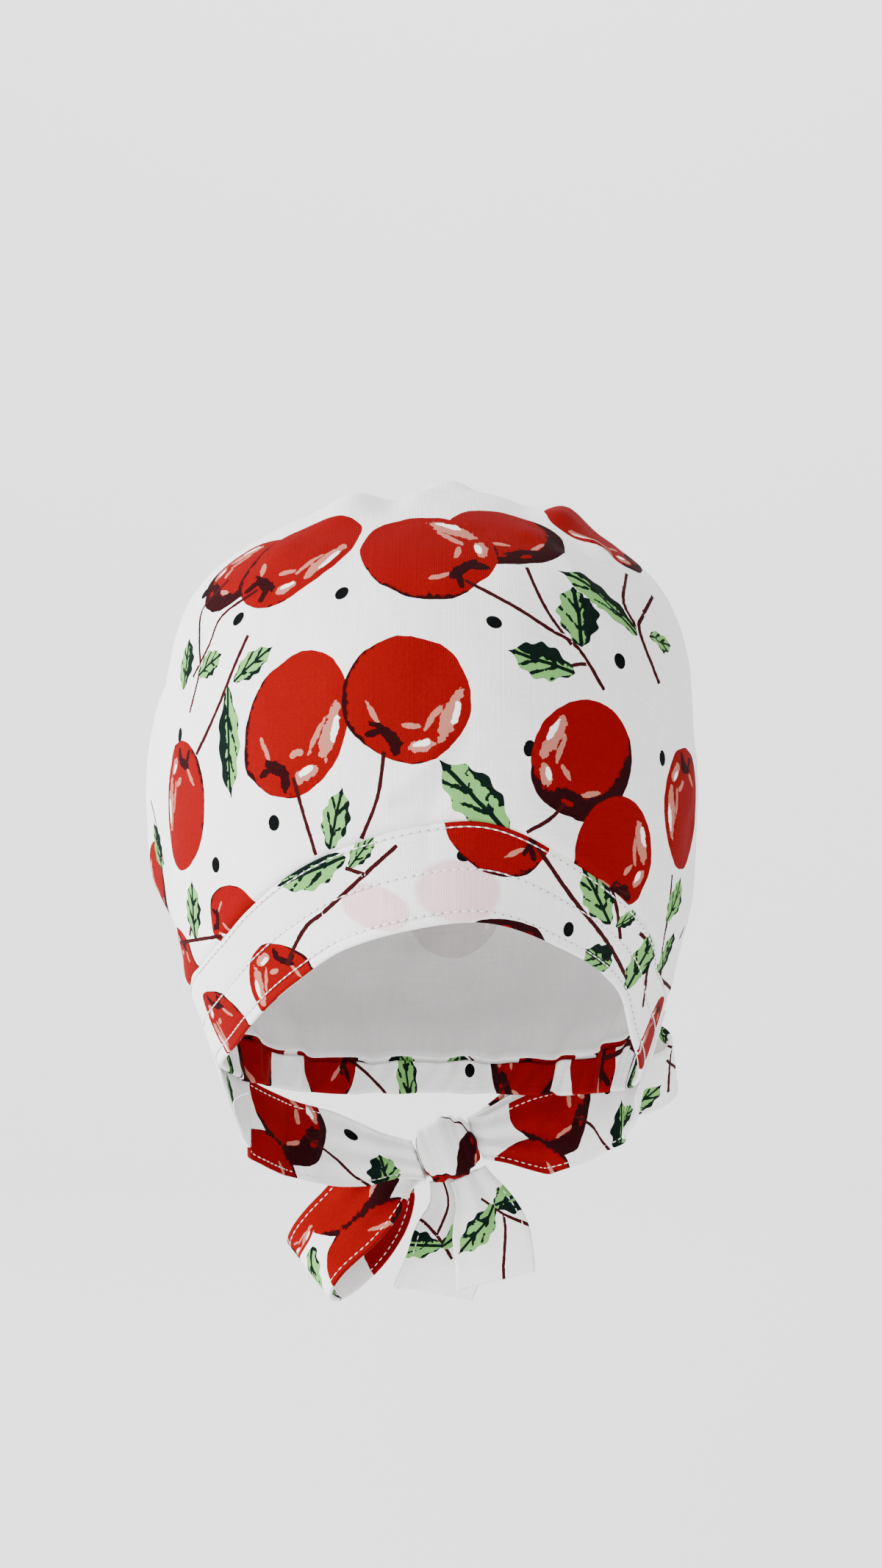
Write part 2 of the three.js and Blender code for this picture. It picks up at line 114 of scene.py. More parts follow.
# Threads of the cloth and of its stitches
thread_spacing = 0.7
stitch_length = 2.3
stitch_pitch = 2.8
stitch_width = 0.5
# Size and sink of the grey bead of painted shade in each needle hole
hole_length = 0.6
stitch_sink = 0.1
hole_sink = 0.22

# Plan of the crown at each height: the height is a share of crown_height, front of
# crown_front, back of crown_back, left and right of crown_half_width.
crown_sections = [
    # height, front, back, left, right
    (-0.41, 0.88, 0.51, 0.61, 0.59),
    (-0.26, 0.93, 0.63, 0.73, 0.71),
    (-0.11, 0.96, 0.75, 0.81, 0.8),
    (0.03, 0.97, 0.87, 0.89, 0.89),
    (0.185, 0.98, 0.95, 0.955, 0.94),
    (0.35, 0.995, 1.0, 0.98, 0.965),
    (0.51, 1.0, 0.99, 0.99, 0.965),
    (0.66, 0.97, 0.915, 0.965, 0.945),
    (0.795, 0.85, 0.775, 0.885, 0.85),
    (0.897, 0.63, 0.585, 0.67, 0.655),
    (0.967, 0.34, 0.325, 0.38, 0.39),
    (1.0, 0, 0, 0, 0),
]

# Folds as lines through three points: x is a share of crown_half_width, y of
# crown_front or crown_back, z of crown_height, width of fold_width, rise of fold_rise.
crown_folds = [
    # from, via, to, width, rise
    ((-0.31, -0.51, 0.945), (-0.28, 0, 0.99), (-0.26, 0.35, 0.955), 1, 0.7),
    ((-0.16, -0.51, 0.965), (-0.15, 0, 0.995), (-0.14, 0.31, 0.98), 0.8, -0.75),
    ((0.06, 0.05, 1.0), (0.065, 0.27, 0.985), (0.07, 0.58, 0.9), 1.15, 1.45),
    ((0.33, -0.41, 0.955), (0.34, 0, 0.98), (0.34, 0.31, 0.965), 0.8, -0.4),
    ((0.45, -0.36, 0.925), (0.48, 0, 0.95), (0.5, 0.31, 0.925), 1, 1),
    ((0.42, -0.67, 0.89), (0.58, -0.59, 0.86), (0.74, -0.55, 0.76), 0.9, -0.65),
    ((-0.93, 0, 0.66), (-0.97, 0.06, 0.42), (-0.93, 0.06, 0.12), 0.9, -1.5),
    ((-0.88, 0.45, 0.55), (-0.93, 0.42, 0.41), (-0.88, 0.4, 0.29), 3.5, 5.3),
    ((-0.3, 0.7, 0.8), (-0.34, 0.93, 0.5), (-0.3, 0.93, 0.2), 1.4, -1.1),
    ((0.36, 0.68, 0.8), (0.42, 0.9, 0.5), (0.36, 0.9, 0.2), 1.4, -1.1),
    # Fine creases that only the cloth's surface shows
    ((0.02, -0.98, 0.5), (-0.06, -0.99, 0.45), (-0.16, -0.98, 0.41), 0.35, 0.22),
    ((0.12, -0.98, 0.52), (0.03, -0.99, 0.44), (-0.02, -0.98, 0.38), 0.3, -0.2),
    ((0.2, -0.97, 0.44), (0.3, -0.95, 0.41), (0.42, -0.9, 0.36), 0.4, 0.14),
    ((0.36, -0.62, 0.9), (0.5, -0.72, 0.78), (0.62, -0.74, 0.66), 0.6, 0.5),
    ((0.56, -0.5, 0.87), (0.7, -0.6, 0.74), (0.8, -0.58, 0.58), 0.5, 0.6),
    ((-0.5, -0.6, 0.86), (-0.66, -0.62, 0.72), (-0.78, -0.56, 0.56), 0.7, 0.25),
    ((-0.86, -0.3, 0.62), (-0.87, -0.34, 0.4), (-0.84, -0.36, 0.2), 0.6, 0.35),
    ((0.87, -0.25, 0.6), (0.88, -0.3, 0.36), (0.84, -0.34, 0.16), 0.5, 0.3),
    ((-0.1, 0.8, 0.78), (-0.06, 0.98, 0.45), (-0.08, 0.92, 0.1), 0.7, 0.6),
    ((0.12, 0.78, 0.8), (0.14, 0.98, 0.5), (0.1, 0.94, 0.15), 0.6, -0.5),
    ((0.66, 0.5, 0.72), (0.72, 0.6, 0.42), (0.64, 0.58, 0.12), 0.9, 0.8),
    ((-0.62, 0.5, 0.76), (-0.62, 0.72, 0.4), (-0.55, 0.66, 0.1), 0.8, -0.8),
]

# Edge of the brim: azimuth in degrees from the front towards +X, edge height as a share
# of crown_height, depth of band_width, tuck of tuck_depth.
brim_line = [
    # azimuth, edge, depth, tuck
    (-97, -0.114, 0.87, 0.15),
    (-75, -0.076, 0.8, 0.05),
    (-58, -0.035, 0.85, 0.05),
    (-47, 0.014, 0.86, 0.1),
    (-38, 0.06, 0.95, 0.15),
    (-30, 0.101, 1.0, 0.15),
    (-17, 0.165, 0.98, 0.2),
    (0, 0.206, 0.98, 0.2),
    (12, 0.208, 0.96, 0.2),
    (28, 0.16, 0.83, 0.2),
    (43, 0.106, 0.66, 0.2),
    (54, 0.054, 0.57, 0.45),
    (62, -0.02, 0.72, 0.75),
    (76, -0.076, 0.84, 0.7),
    (97, -0.14, 0.87, 0.15),
]
# The same for the casing behind, with the depth as a share of casing_depth.
casing_line = [
    (122, -0.18, 1.25, 0.75),
    (150, -0.21, 1.0, 1.0),
    (180, -0.217, 1.0, 1.0),
    (210, -0.207, 1.0, 1.0),
    (240, -0.16, 1.25, 0.6),
]

# Middle of each tie from the band's end to the knot, the drop as a share of knot_drop.
tie_lines = {
    # along, drop, slack
    "right": [(0, 0.25, 0.2), (0.15, 0.42, 5), (0.38, 0.64, 6), (0.73, 0.86, 5), (1, 0.93, 4)],
    "left": [(0, 0.17, 0.2), (0.16, 0.45, 2), (0.36, 0.7, 3), (0.68, 0.93, 4), (1, 1.07, 4)],
}
# Middle lines of the bow's pieces from the knot outwards, in shares of their length.
loop_spines = {
    "right": [(0, 0, 0), (0.3, 0.08, 0.13), (0.62, 0.07, 0.28), (0.91, -0.02, 0.34)],
    "left": [(0, 0, 0), (-0.17, 0.05, -0.1), (-0.36, 0.03, -0.38), (-0.6, -0.08, -0.62)],
}
tail_spines = {
    "right": [(0, 0, 0), (0.14, -0.04, -0.28), (0.22, -0.14, -0.62), (0.24, -0.2, -0.95)],
    "left": [(0, 0, 0), (0.05, -0.01, -0.28), (-0.02, -0.1, -0.62), (-0.16, -0.16, -0.95)],
}
sides = {"right": 1, "left": -1}
backwards = np.array([0, 1.0, 0])


def lerp(a, b, share):
    return a + (b - a) * share


def smoothstep(x, low, high):
    t = np.clip((x - low) / (high - low), 0, 1)
    return t * t * (3 - 2 * t)


def read_table(rows, x):
    """Smooth values of a table's other columns where its first column is x."""
    rows = np.asarray(rows, float)
    keys, values = rows[:, 0], rows[:, 1:]
    last = len(rows) - 1
    before = np.maximum(np.arange(last + 1) - 1, 0)
    after = np.minimum(np.arange(last + 1) + 1, last)
    slopes = (values[after] - values[before]) / (keys[after] - keys[before])[:, None]
    i = np.clip(np.searchsorted(keys, x, side="right") - 1, 0, last - 1)
    step = (keys[i + 1] - keys[i])[..., None]
    t = (np.asarray(x) - keys[i])[..., None] / step
    rise = values[i + 1] - values[i]
    a, b = slopes[i] * step, slopes[i + 1] * step
    return values[i] + t * (a + t * (3 * rise - 2 * a - b + t * (a + b - 2 * rise)))


def dot(a, b):
    return (a * b).sum(-1)


def unit(vectors):
    return vectors / np.maximum(np.linalg.norm(vectors, axis=-1, keepdims=True), 1e-9)


def around_axis(azimuth, radius, z):
    x, y = radius * np.sin(azimuth), -radius * np.cos(azimuth)
    return np.stack(np.broadcast_arrays(x, y, z), -1)


def outward_at(degrees):
    """Level directions away from the cap's axis."""
    return around_axis(np.radians(degrees), 1.0, 0.0)


def moved(points, directions, distances):
    return points + directions * distances[..., None]


def hump(x, width):
    """A smooth rise of 1 where x is 0, which fades out on both sides."""
    return np.exp(-((x / width) ** 2))


# The crown's sections, with the row below the top mirrored past it to close the dome.
section_sizes = (crown_height, crown_front, crown_back, crown_half_width, crown_half_width)
section_rows = np.array(crown_sections) * section_sizes
section_rows = np.vstack([section_rows, section_rows[-2] * (1, -1, -1, -1, -1)])
section_table = np.column_stack([np.arange(len(section_rows)), section_rows])
top_level = len(crown_sections) - 1
sampled_levels = np.linspace(0, top_level, 2000)
sampled_heights = read_table(section_table, sampled_levels)[:, 0]


def plan_radius(azimuth, front, back, left, right, roundness):
    """Radius of a rounded outline whose four reaches are given."""
    across = np.abs(np.sin(azimuth)) / np.maximum(np.where(np.sin(azimuth) > 0, right, left), 1e-6)
    along = np.abs(np.cos(azimuth)) / np.maximum(np.where(np.cos(azimuth) > 0, front, back), 1e-6)
    return (across**roundness + along**roundness) ** (-1 / roundness)


def smooth_crown(azimuth, level):
    """The crown without its folds. Level counts the rows of crown_sections."""
    z, front, back, left, right = np.moveaxis(read_table(section_table, level), -1, 0)
    return around_axis(azimuth, plan_radius(azimuth, front, back, left, right, crown_roundness), z)


def crown_normal(azimuth, level):
    """Outward directions of the crown without its folds."""
    step = 0.02
    near = np.minimum(level, top_level - step)
    along = smooth_crown(azimuth + step, near) - smooth_crown(azimuth - step, near)
    upward = smooth_crown(azimuth, near + step) - smooth_crown(azimuth, near - step)
    return unit(np.cross(along, upward))


def fold_height(points):
    """How far the folds lift the crown at the points."""
    height = np.zeros(points.shape[:-1])
    for start, via, end, width, rise in crown_folds:
        line = np.array([start, via, end], float)
        line *= np.where(line[:, 1:2] < 0, (1, crown_front, 1), (1, crown_back, 1))
        line *= (crown_half_width, 1, crown_height)
        nearest = np.full(height.shape, 1e9)
        for a, b in zip(line, line[1:]):
            share = np.clip(dot(points - a, b - a) / dot(b - a, b - a), 0, 1)
            gap = np.linalg.norm(points - a - share[..., None] * (b - a), axis=-1)
            nearest = np.minimum(nearest, gap)
        height += rise * fold_rise * hump(nearest, width * fold_width)
    return height


rim_rows = [(a, e, d * band_width, t) for a, e, d, t in brim_line]
rim_rows += [(a, e, d * casing_depth, t) for a, e, d, t in casing_line]
rim_rows.append((rim_rows[0][0] + 360, *rim_rows[0][1:]))


def rim_at(degrees):
    """Heights of the edge and the seam, and how deep the crown is tucked there."""
    start = rim_rows[0][0]
    table = read_table(rim_rows, start + np.mod(degrees - start, 360))
    edge = table[..., 0] * crown_height
    return edge, edge + table[..., 1], table[..., 2] * tuck_depth


def gather_at(degrees):
    """How far the gathers behind stand out. A second wave makes them uneven."""
    azimuth = np.radians(degrees)
    behind = np.abs(np.mod(degrees, 360) - 180)
    fade = 1 - smoothstep(behind, gather_reach, gather_reach + gather_fade)
    return fade * gather_rise * (np.cos(azimuth * gather_count) + 0.35 * np.sin(azimuth * 37 + 1))


def crumple(points, size, rise):
    """Soft uneven dents of a cloth that isn't ironed."""
    dents = [noise.noise(Vector(p) / size) for p in points.reshape(-1, 3)]
    return rise * np.reshape(dents, points.shape[:-1])


def crown_point(degrees, share):
    """A point of the crown, at the seam where share is 0 and at the top where it is 1."""
    azimuth = np.radians(degrees)
    _, seam, tuck = rim_at(degrees)
    low = np.interp(seam, sampled_heights, sampled_levels)
    level = lerp(low, top_level, share)
    point = smooth_crown(azimuth, level)
    at_top = (np.asarray(share) >= 1)[..., None]
    normal = np.where(at_top, (0, 0, 1), crown_normal(azimuth, level))
    above = point[..., 2] - seam
    point = moved(point, normal, fold_height(point) + gather_at(degrees) * hump(above, gather_height))
    return moved(point, outward_at(degrees), -tuck * hump(above, tuck_height))


def crown_surface(along, share):
    """The crown with its fine dents. It puffs out above the seam, and its lower edge is
    turned in under it."""
    degrees = 360 * along
    point = crown_point(degrees, share)
    radial = unit(point - crown_middle)
    fade = (1 - smoothstep(share, 0.94, 1.0)) * smoothstep(share, 0, 0.08)
    dents = crumple(point, size=30, rise=1.3) + crumple(point, size=11, rise=0.35)
    point = moved(point, radial, dents * fade)
    puff = 0.5 * hump(share - 0.022, 0.016)
    turned_in = 1.1 * hump(share, 0.006)
    return moved(point, outward_at(degrees), puff - turned_in)


def edge_point(degrees):
    """A point of the edge round the opening."""
    azimuth = np.radians(degrees)
    half = opening_breadth / 2
    radius = plan_radius(
        azimuth, forehead_reach, nape_reach, half - opening_shift, half + opening_shift, 2
    )
    return around_axis(azimuth, radius, rim_at(degrees)[0])


def strip_point(degrees, share):
    """A point of the band or the casing, at its edge where share is 0, else up to its seam."""
    seam = crown_point(degrees, np.zeros_like(degrees))
    point = lerp(edge_point(degrees), seam, np.asarray(share)[..., None])
    return moved(point, outward_at(degrees), gather_at(degrees) * (1 - share))


def strip_radius(degrees, z):
    """How far from the axis the band and the casing stand at a height."""
    seam = crown_point(degrees, np.zeros_like(degrees))
    edge = edge_point(degrees)
    share = np.clip((z - edge[..., 2]) / (seam[..., 2] - edge[..., 2]), -1, 1)
    inner = np.hypot(edge[..., 0], edge[..., 1])
    return lerp(inner, np.hypot(seam[..., 0], seam[..., 1]), share)


def hemmed_strip(first, last, facing, ruffle, stitch_rows):
    """A strip turned up inside at its edge: across runs up the facing, round the fold
    and up the outer face to just behind the seam. Each row of stitches pulls in a groove."""
    fold_start, fold_end, seam_overlap = 0.34, 0.42, 1.04
    groove_depth, groove_width = 0.35, 0.8

    def point_at(along, across):
        degrees = lerp(first, last, along)
        outward = outward_at(degrees)
        outer = across > fold_end
        down = facing * (1 - np.clip(across / fold_start, 0, 1))
        up = seam_overlap * np.clip((across - fold_end) / (1 - fold_end), 0, 1)
        share = np.where(outer, up, down)
        turn = math.pi * (1 - np.clip((across - fold_start) / (fold_end - fold_start), 0, 1))
        back = hem_radius * (np.cos(turn) - 1)
        wave = ruffle * np.sin(np.radians(degrees) * 61 + 3 * share) * np.sin(math.pi * share)
        inward = smoothstep(share, 0.97, 1.03)
        for row in stitch_rows:
            inward = inward + outer * groove_depth * hump((share - row) * band_width, groove_width)
        point = moved(strip_point(degrees, share), outward, back + wave - inward)
        point = moved(point, outward, crumple(point, size=16, rise=0.35))
        return moved(point, np.array([0, 0, -1]), hem_radius * np.sin(turn))

    return point_at


# Middle of the knot: it lies on the ends of the two ties.
back_radius = float(strip_radius(np.array(180.0), -knot_drop))
knot_turn = math.radians(knot_tilt)
knot_y = back_radius + tie_clearance + knot_size[1] * knot_seat
knot_centre = np.array([knot_offset, knot_y, -knot_drop])
knot_frame = np.array(Matrix.Rotation(-knot_turn, 3, "Y"))


def tie_surface(hand):
    """A tie from the band's end to the knot, drawn narrow and pleated towards it."""
    side = sides[hand]
    start = abs(band_ends[side > 0])
    knot_side = (knot_size[0] / 2) * math.cos(knot_turn) - tie_bite
    knot_end = side * (knot_size[0] / 2) * math.sin(knot_turn) - knot_drop

    def point_at(along, across):
        along = along if side > 0 else 1 - along
        drop, slack = np.moveaxis(read_table(tie_lines[hand], along), -1, 0)
        drawn = smoothstep(along, 1 - gathered_share, 1)
        width = lerp(tie_width, gathered_tie_width, drawn)
        z = -drop * knot_drop + (across - 0.5) * width
        slant = math.tan(knot_turn) * (z - knot_end) * along
        reach = knot_side + side * (knot_offset - slant)
        behind = back_radius + tie_clearance + slack
        end = 180 - np.degrees(np.arcsin(reach / behind))
        degrees = lerp(start, end, along)
        pleats = 1.1 * np.sin(across * 5 * math.pi) * smoothstep(along, 0.45, 1)
        radius = strip_radius(side * degrees, z) + strip_wall + tie_clearance + slack + pleats
        point = around_axis(side * np.radians(degrees), radius, z)
        dents = crumple(point, size=18, rise=0.8) * smoothstep(along, 0, 0.1)
        return moved(point, outward_at(side * degrees), dents)

    return point_at


def knot_surface(along, across):
    """A wad of cloth wound round, with the pleats of its winding."""
    turn, tilt = 2 * math.pi * along, math.pi * (across - 0.5)
    x, y, z = np.cos(tilt) * np.cos(turn), np.cos(tilt) * np.sin(turn), np.sin(tilt)
    shape = np.stack([z, -y, x], -1)
    shape = np.sign(shape) * np.abs(shape) ** knot_squareness
    winding = np.sin(z * 9 + 1.3 * np.sin(turn)) * 0.055 + 0.03 * np.sin(z * 21 + turn)
    shape = shape * (1 + winding * np.cos(tilt))[..., None] * 0.96
    return (shape * (np.array(knot_size) / 2)) @ knot_frame.T + knot_centre


def bow_spine(shares, length, start):
    """Places along a middle line that leaves the knot, with the cloth's widthwise
    direction and its width, which opens out of the knot's gathers."""
    points = np.array(shares, float) * length + knot_frame @ np.array(start, float) + knot_centre
    last = len(points) - 1
    rows = np.column_stack([np.arange(last + 1), points])
    step = 1e-4

    def at(share):
        position = np.clip(share, 0, 1) * last
        ahead = read_table(rows, np.minimum(position + step, last))
        slope = ahead - read_table(rows, np.maximum(position - step, 0))
        width = lerp(gathered_tie_width, tie_width, smoothstep(share, 0, opened_share))
        return read_table(rows, position), unit(np.cross(slope, backwards)), width

    return at


def loop_surface(hand):
    """A loop out of the knot and back into it, in two layers that open in the middle."""
    side = sides[hand]
    start = (side * (knot_size[0] / 2 - bow_bite), knot_size[1] * loop_seat, 0)
    spine = bow_spine(loop_spines[hand], loop_lengths[hand], start)

    def point_at(along, across):
        reach = np.sin(math.pi * along)
        point, widthwise, width = spine(reach)
        opened = loop_spread * np.sin(2 * math.pi * along)
        turn = math.radians(loop_rolls[hand]) * smoothstep(reach, 0, 1)
        pleats = 1.3 * np.sin(across * 5 * math.pi + 1) * (1 - smoothstep(reach, 0.1, 0.8))
        layers = opened + layer_spacing * np.cos(math.pi * along) + pleats
        sideways = (across - 0.5) * width
        spread = sideways * np.cos(turn) + layers * np.sin(turn)
        depth = layers * np.cos(turn) - sideways * np.sin(turn)
        point = moved(moved(point, widthwise, spread), backwards, depth)
        dents = crumple(point, size=15, rise=1.0) * smoothstep(reach, 0.1, 0.5)
        return moved(point, backwards, dents)

    return point_at


def tail_surface(hand):
    """A tail end that hangs from the knot, with its tip cut at a slant."""
    seat, depth = tail_seats[hand]
    start = (seat, knot_size[1] * depth, bow_bite - knot_size[2] / 2)
    spine = bow_spine(tail_spines[hand], tail_lengths[hand], start)

    def point_at(along, across):
        reach = along * (1 - tail_slant * across)
        point, widthwise, width = spine(reach)
        pleats = 1.2 * np.sin(across * 4 * math.pi) * (1 - smoothstep(reach, 0, 0.9))
        point = moved(point, widthwise, (across - 0.5) * width)
        return moved(point, backwards, crumple(point, size=15, rise=1.0) + pleats)

    return point_at


# Print. A motif's place is where a pin meets the cloth: "seen" pins go in from the
# camera and are given in millimetres on a plane across the forehead, and the others go
# straight in from their side. turn is clockwise in degrees from straight up, towards a
# cherry's stem or a leaf's tip, and tone 1 is a shaded cherry or a dark-edged leaf. Faces
# that no motif reaches keep a blank place, far outside every motif's square.
print_layers = ("cherry_back", "cherry_front", "leaf", "dot", "stem", "show")
blank = 9.0
# A motif of tone 1 is kept this far along x in its UV map.
tone_shift = 4
# Faces are printed up to this many times a motif's reach, and this near to a stem.
motif_margin = 1.5
stem_margin = 5
# Half width, half length and tone of every dot
dot_shape = (2, 2.6, 0)

seen_motifs = {
    # across, height, turn, half width, half length, tone
    "crown": {
        "cherry_front": [
            (-8, 107, 210, 20, 20, 0), (57, 59, 172, 16, 19, 0), (-1, 153, 130, 21, 23, 0),
            (-42, 152, 215, 16, 24, 0),
        ],
        "cherry_back": [
            (-43, 99, 202, 17.5, 24.5, 0), (47, 88, 205, 18.5, 19.5, 1), (23, 158, 170, 20, 19, 1),
            (-59, 147, 228, 14, 18, 1), (-77, 75, 8, 17, 22, 0), (78, 74, 5, 17, 21, 0),
            (51, 157, 150, 16, 20, 1), (-62, 39.5, 262, 10.5, 12, 0), (-85, 51, 190, 12, 15, 1),
            (-76, 24, 20, 13, 15, 0),
        ],
        "leaf": [
            (-30, 70, 14, 4.5, 10, 0), (-38, 54, 248, 5.5, 13, 1), (-22, 60, 40, 3, 6.5, 0),
            (13, 77, 316, 7, 15.5, 0), (45, 133, 4, 7.5, 11, 1), (34, 119, 287, 6, 11.5, 1),
            (-76, 118, 352, 6, 9, 1), (-69, 118, 62, 4.5, 7, 0), (-56, 118, 52, 4, 9, 0),
            (-63, 94, 174, 5, 18.5, 1), (53, 138, 321, 5.5, 17, 1), (70, 125, 100, 4, 9, 0),
            (-74, 42, 6, 5, 10, 0), (-85, 62, 332, 5, 10, 1), (-87, 96, 12, 5, 9, 0),
            (75, 45, 18, 5, 8, 0), (72, 28, 350, 5, 9, 1),
        ],
        "dot": [
            (30, 92, 10), (-49, 69, 10), (-67, 56, 10), (-28, 140, 30), (19, 131, 300), (58, 119, 340),
            (71, 89, 350), (-60, 132, 40), (-70, 140, 60), (77, 35, 10), (-78, 96, 10),
        ],
    },
    "brim_band": {
        "cherry_front": [
            (22, 69, 122, 16, 19, 0), (-46, 18, 12, 14, 16, 0), (-62, 4, 345, 13, 17, 0),
            (67, 3, 8, 12, 16, 0),
        ],
        "cherry_back": [(23, 26, 10, 17, 14, 1)],
        "leaf": [
            (-38, 54, 248, 5.5, 13, 1), (-22, 60, 40, 3, 6.5, 0), (51, 46, 325, 5, 12.5, 0),
            (60, 39, 55, 3, 4.5, 1), (51, 27, 302, 5.5, 8, 1), (65, 27, 4, 6, 13, 0),
        ],
        "dot": [(10, 59, 80), (42, 36, 340)],
        "show": [(8, 48, 5, 14, 10, 0), (-18, 43, 20, 12, 7, 0)],
    },
    "bow_loop_right": {
        "leaf": [(71, 5, 20, 4.5, 7, 1), (64, -17, 40, 5, 12, 0), (76, -3, 165, 2.5, 8, 1)],
    },
    "tie_right": {
        "leaf": [(60, -22, 60, 4, 9, 1)],
    },
    "tie_left": {
        "leaf": [(-63, -14, 20, 4, 7, 1)],
    },
    "bow_loop_left": {
        "cherry_back": [(-42, -58, 200, 7, 11, 0)],
        "leaf": [(-35.5, -72, 165, 4, 12, 0)],
    },
}
seen_stems = {
    # width, points
    "crown": [
        (1.3, [(-43, 83), (-40, 72), (-36, 59)]),
        (1.3, [(-15, 91), (-17, 77), (-22, 64)]),
        (1.4, [(41, 75), (36, 70), (29, 66)]),
        (1.3, [(55, 50), (57, 42), (58, 33)]),
        (1.4, [(10, 144), (25, 136), (36, 129), (45, 123), (53, 110)]),
        (1.3, [(29, 148), (33, 139), (37, 132), (43, 124)]),
        (1.3, [(41, 117), (45, 118), (48, 118)]),
        (1.3, [(-54, 141), (-65, 133), (-69, 124), (-74, 114)]),
        (1.3, [(-63, 144), (-71, 135), (-72, 125), (-72, 116), (-75, 103)]),
        (1.6, [(-57, 127), (-61, 118), (-67, 103), (-73, 90)]),
        (1.4, [(60, 146), (59, 137), (64, 128)]),
        (1.6, [(68, 139), (65, 133), (64, 128), (70, 112)]),
        (1.3, [(-78, 32), (-72, 33), (-65, 34)]),
        (1.3, [(-75, 34), (-74, 42)]),
        (1.3, [(70, 18), (71, 30), (73, 42), (74, 53)]),
        (1.3, [(-83, 56), (-85, 67), (-87, 76)]),
    ],
    "brim_band": [
        (1.4, [(-11, 62), (-21, 53), (-34, 41)]),
        (1.4, [(-34, 41), (-39, 37), (-43, 30), (-45, 25)]),
        (1.4, [(-27, 55), (-21, 53)]),
        (1.4, [(32, 62), (43, 46), (54, 32), (61, 19)]),
        (1.3, [(55, 50), (57, 42), (58, 33)]),
        (1.3, [(68, 35), (66, 21), (65, 12)]),
    ],
    "bow_loop_right": [
        (1.2, [(74, 3), (73, -4), (72.5, -14)]),
        (1.2, [(72, -4), (74, -6), (76.5, -8)]),
    ],
}
# Sprigs where the crown isn't seen from the front: the side that the pin comes from, how
# far across and up it meets the cloth, and the sprig's turn.
crown_sprigs = [
    # side, across, height, turn
    ("back", -36, 128, 20),
    ("back", 36, 126, 200),
    ("back", 0, 50, 165),
    ("back", -70, 52, 340),
    ("back", 70, 50, 15),
    ("top", -38, 46, 60),
    ("top", 36, 50, 190),
]
# The same for the straps and the casing, laid out flat: along, across, turn.
strap_sprigs = {
    "nape_casing": [(34, 12, 75), (118, 20, 250), (205, 12, 100), (290, 18, 260)],
    "tie_right": [(68, 4, 75)],
    "tie_left": [(44, 4, 75)],
    "bow_knot": [(20, 16, 80)],
    "bow_loop_right": [(14, 6, 80), (160, 24, 262)],
    "bow_loop_left": [(10, 8, 80), (128, 24, 262)],
    "bow_tail_right": [(48, 30, 75)],
    "bow_tail_left": [(2, 0, 250)],
}

# A sprig's motif is printed behind this y, or where the cloth has turned this far away
# from the camera, as the cosine between its direction and the camera's.
back_half_start = 62
turned_away = 0.27

# One sprig in its own frame: two cherries, their stems, the leaves at the joint, dots.
sprig_motifs = [
    # layer, across, up, turn, half width, half length, tone
    ("cherry_back", -17, 14, 165, 18, 21, 1),
    ("cherry_front", 15, 19, 195, 19, 20, 0),
    ("leaf", 12, -28, 70, 5.5, 12, 0),
    ("leaf", -9, -29, 285, 6, 11, 1),
    ("dot", -24, -16, 10, *dot_shape),
    ("dot", 30, -8, 340, *dot_shape),
]
sprig_stems = [
    (1.3, [(-14, 3), (-10, -12), (0, -27), (5, -38)]),
    (1.3, [(12, 7), (9, -10), (0, -27)]),
]


def tangent_frame(normal):
    """Right and up directions on a surface, up being towards the crown's top."""
    guide = np.array([0, 1.0, 0]) if normal[2] > 0.92 else np.array([0, 0, 1.0])
    up = unit(guide - normal * dot(guide, normal))
    return np.cross(up, normal), up


def values_of(items, name, width=1, kind=float):
    """One property of every item of a mesh, such as its vertices' places."""
    values = np.zeros(len(items) * width, kind)
    items.foreach_get(name, values)
    return values.reshape(-1, width) if width > 1 else values


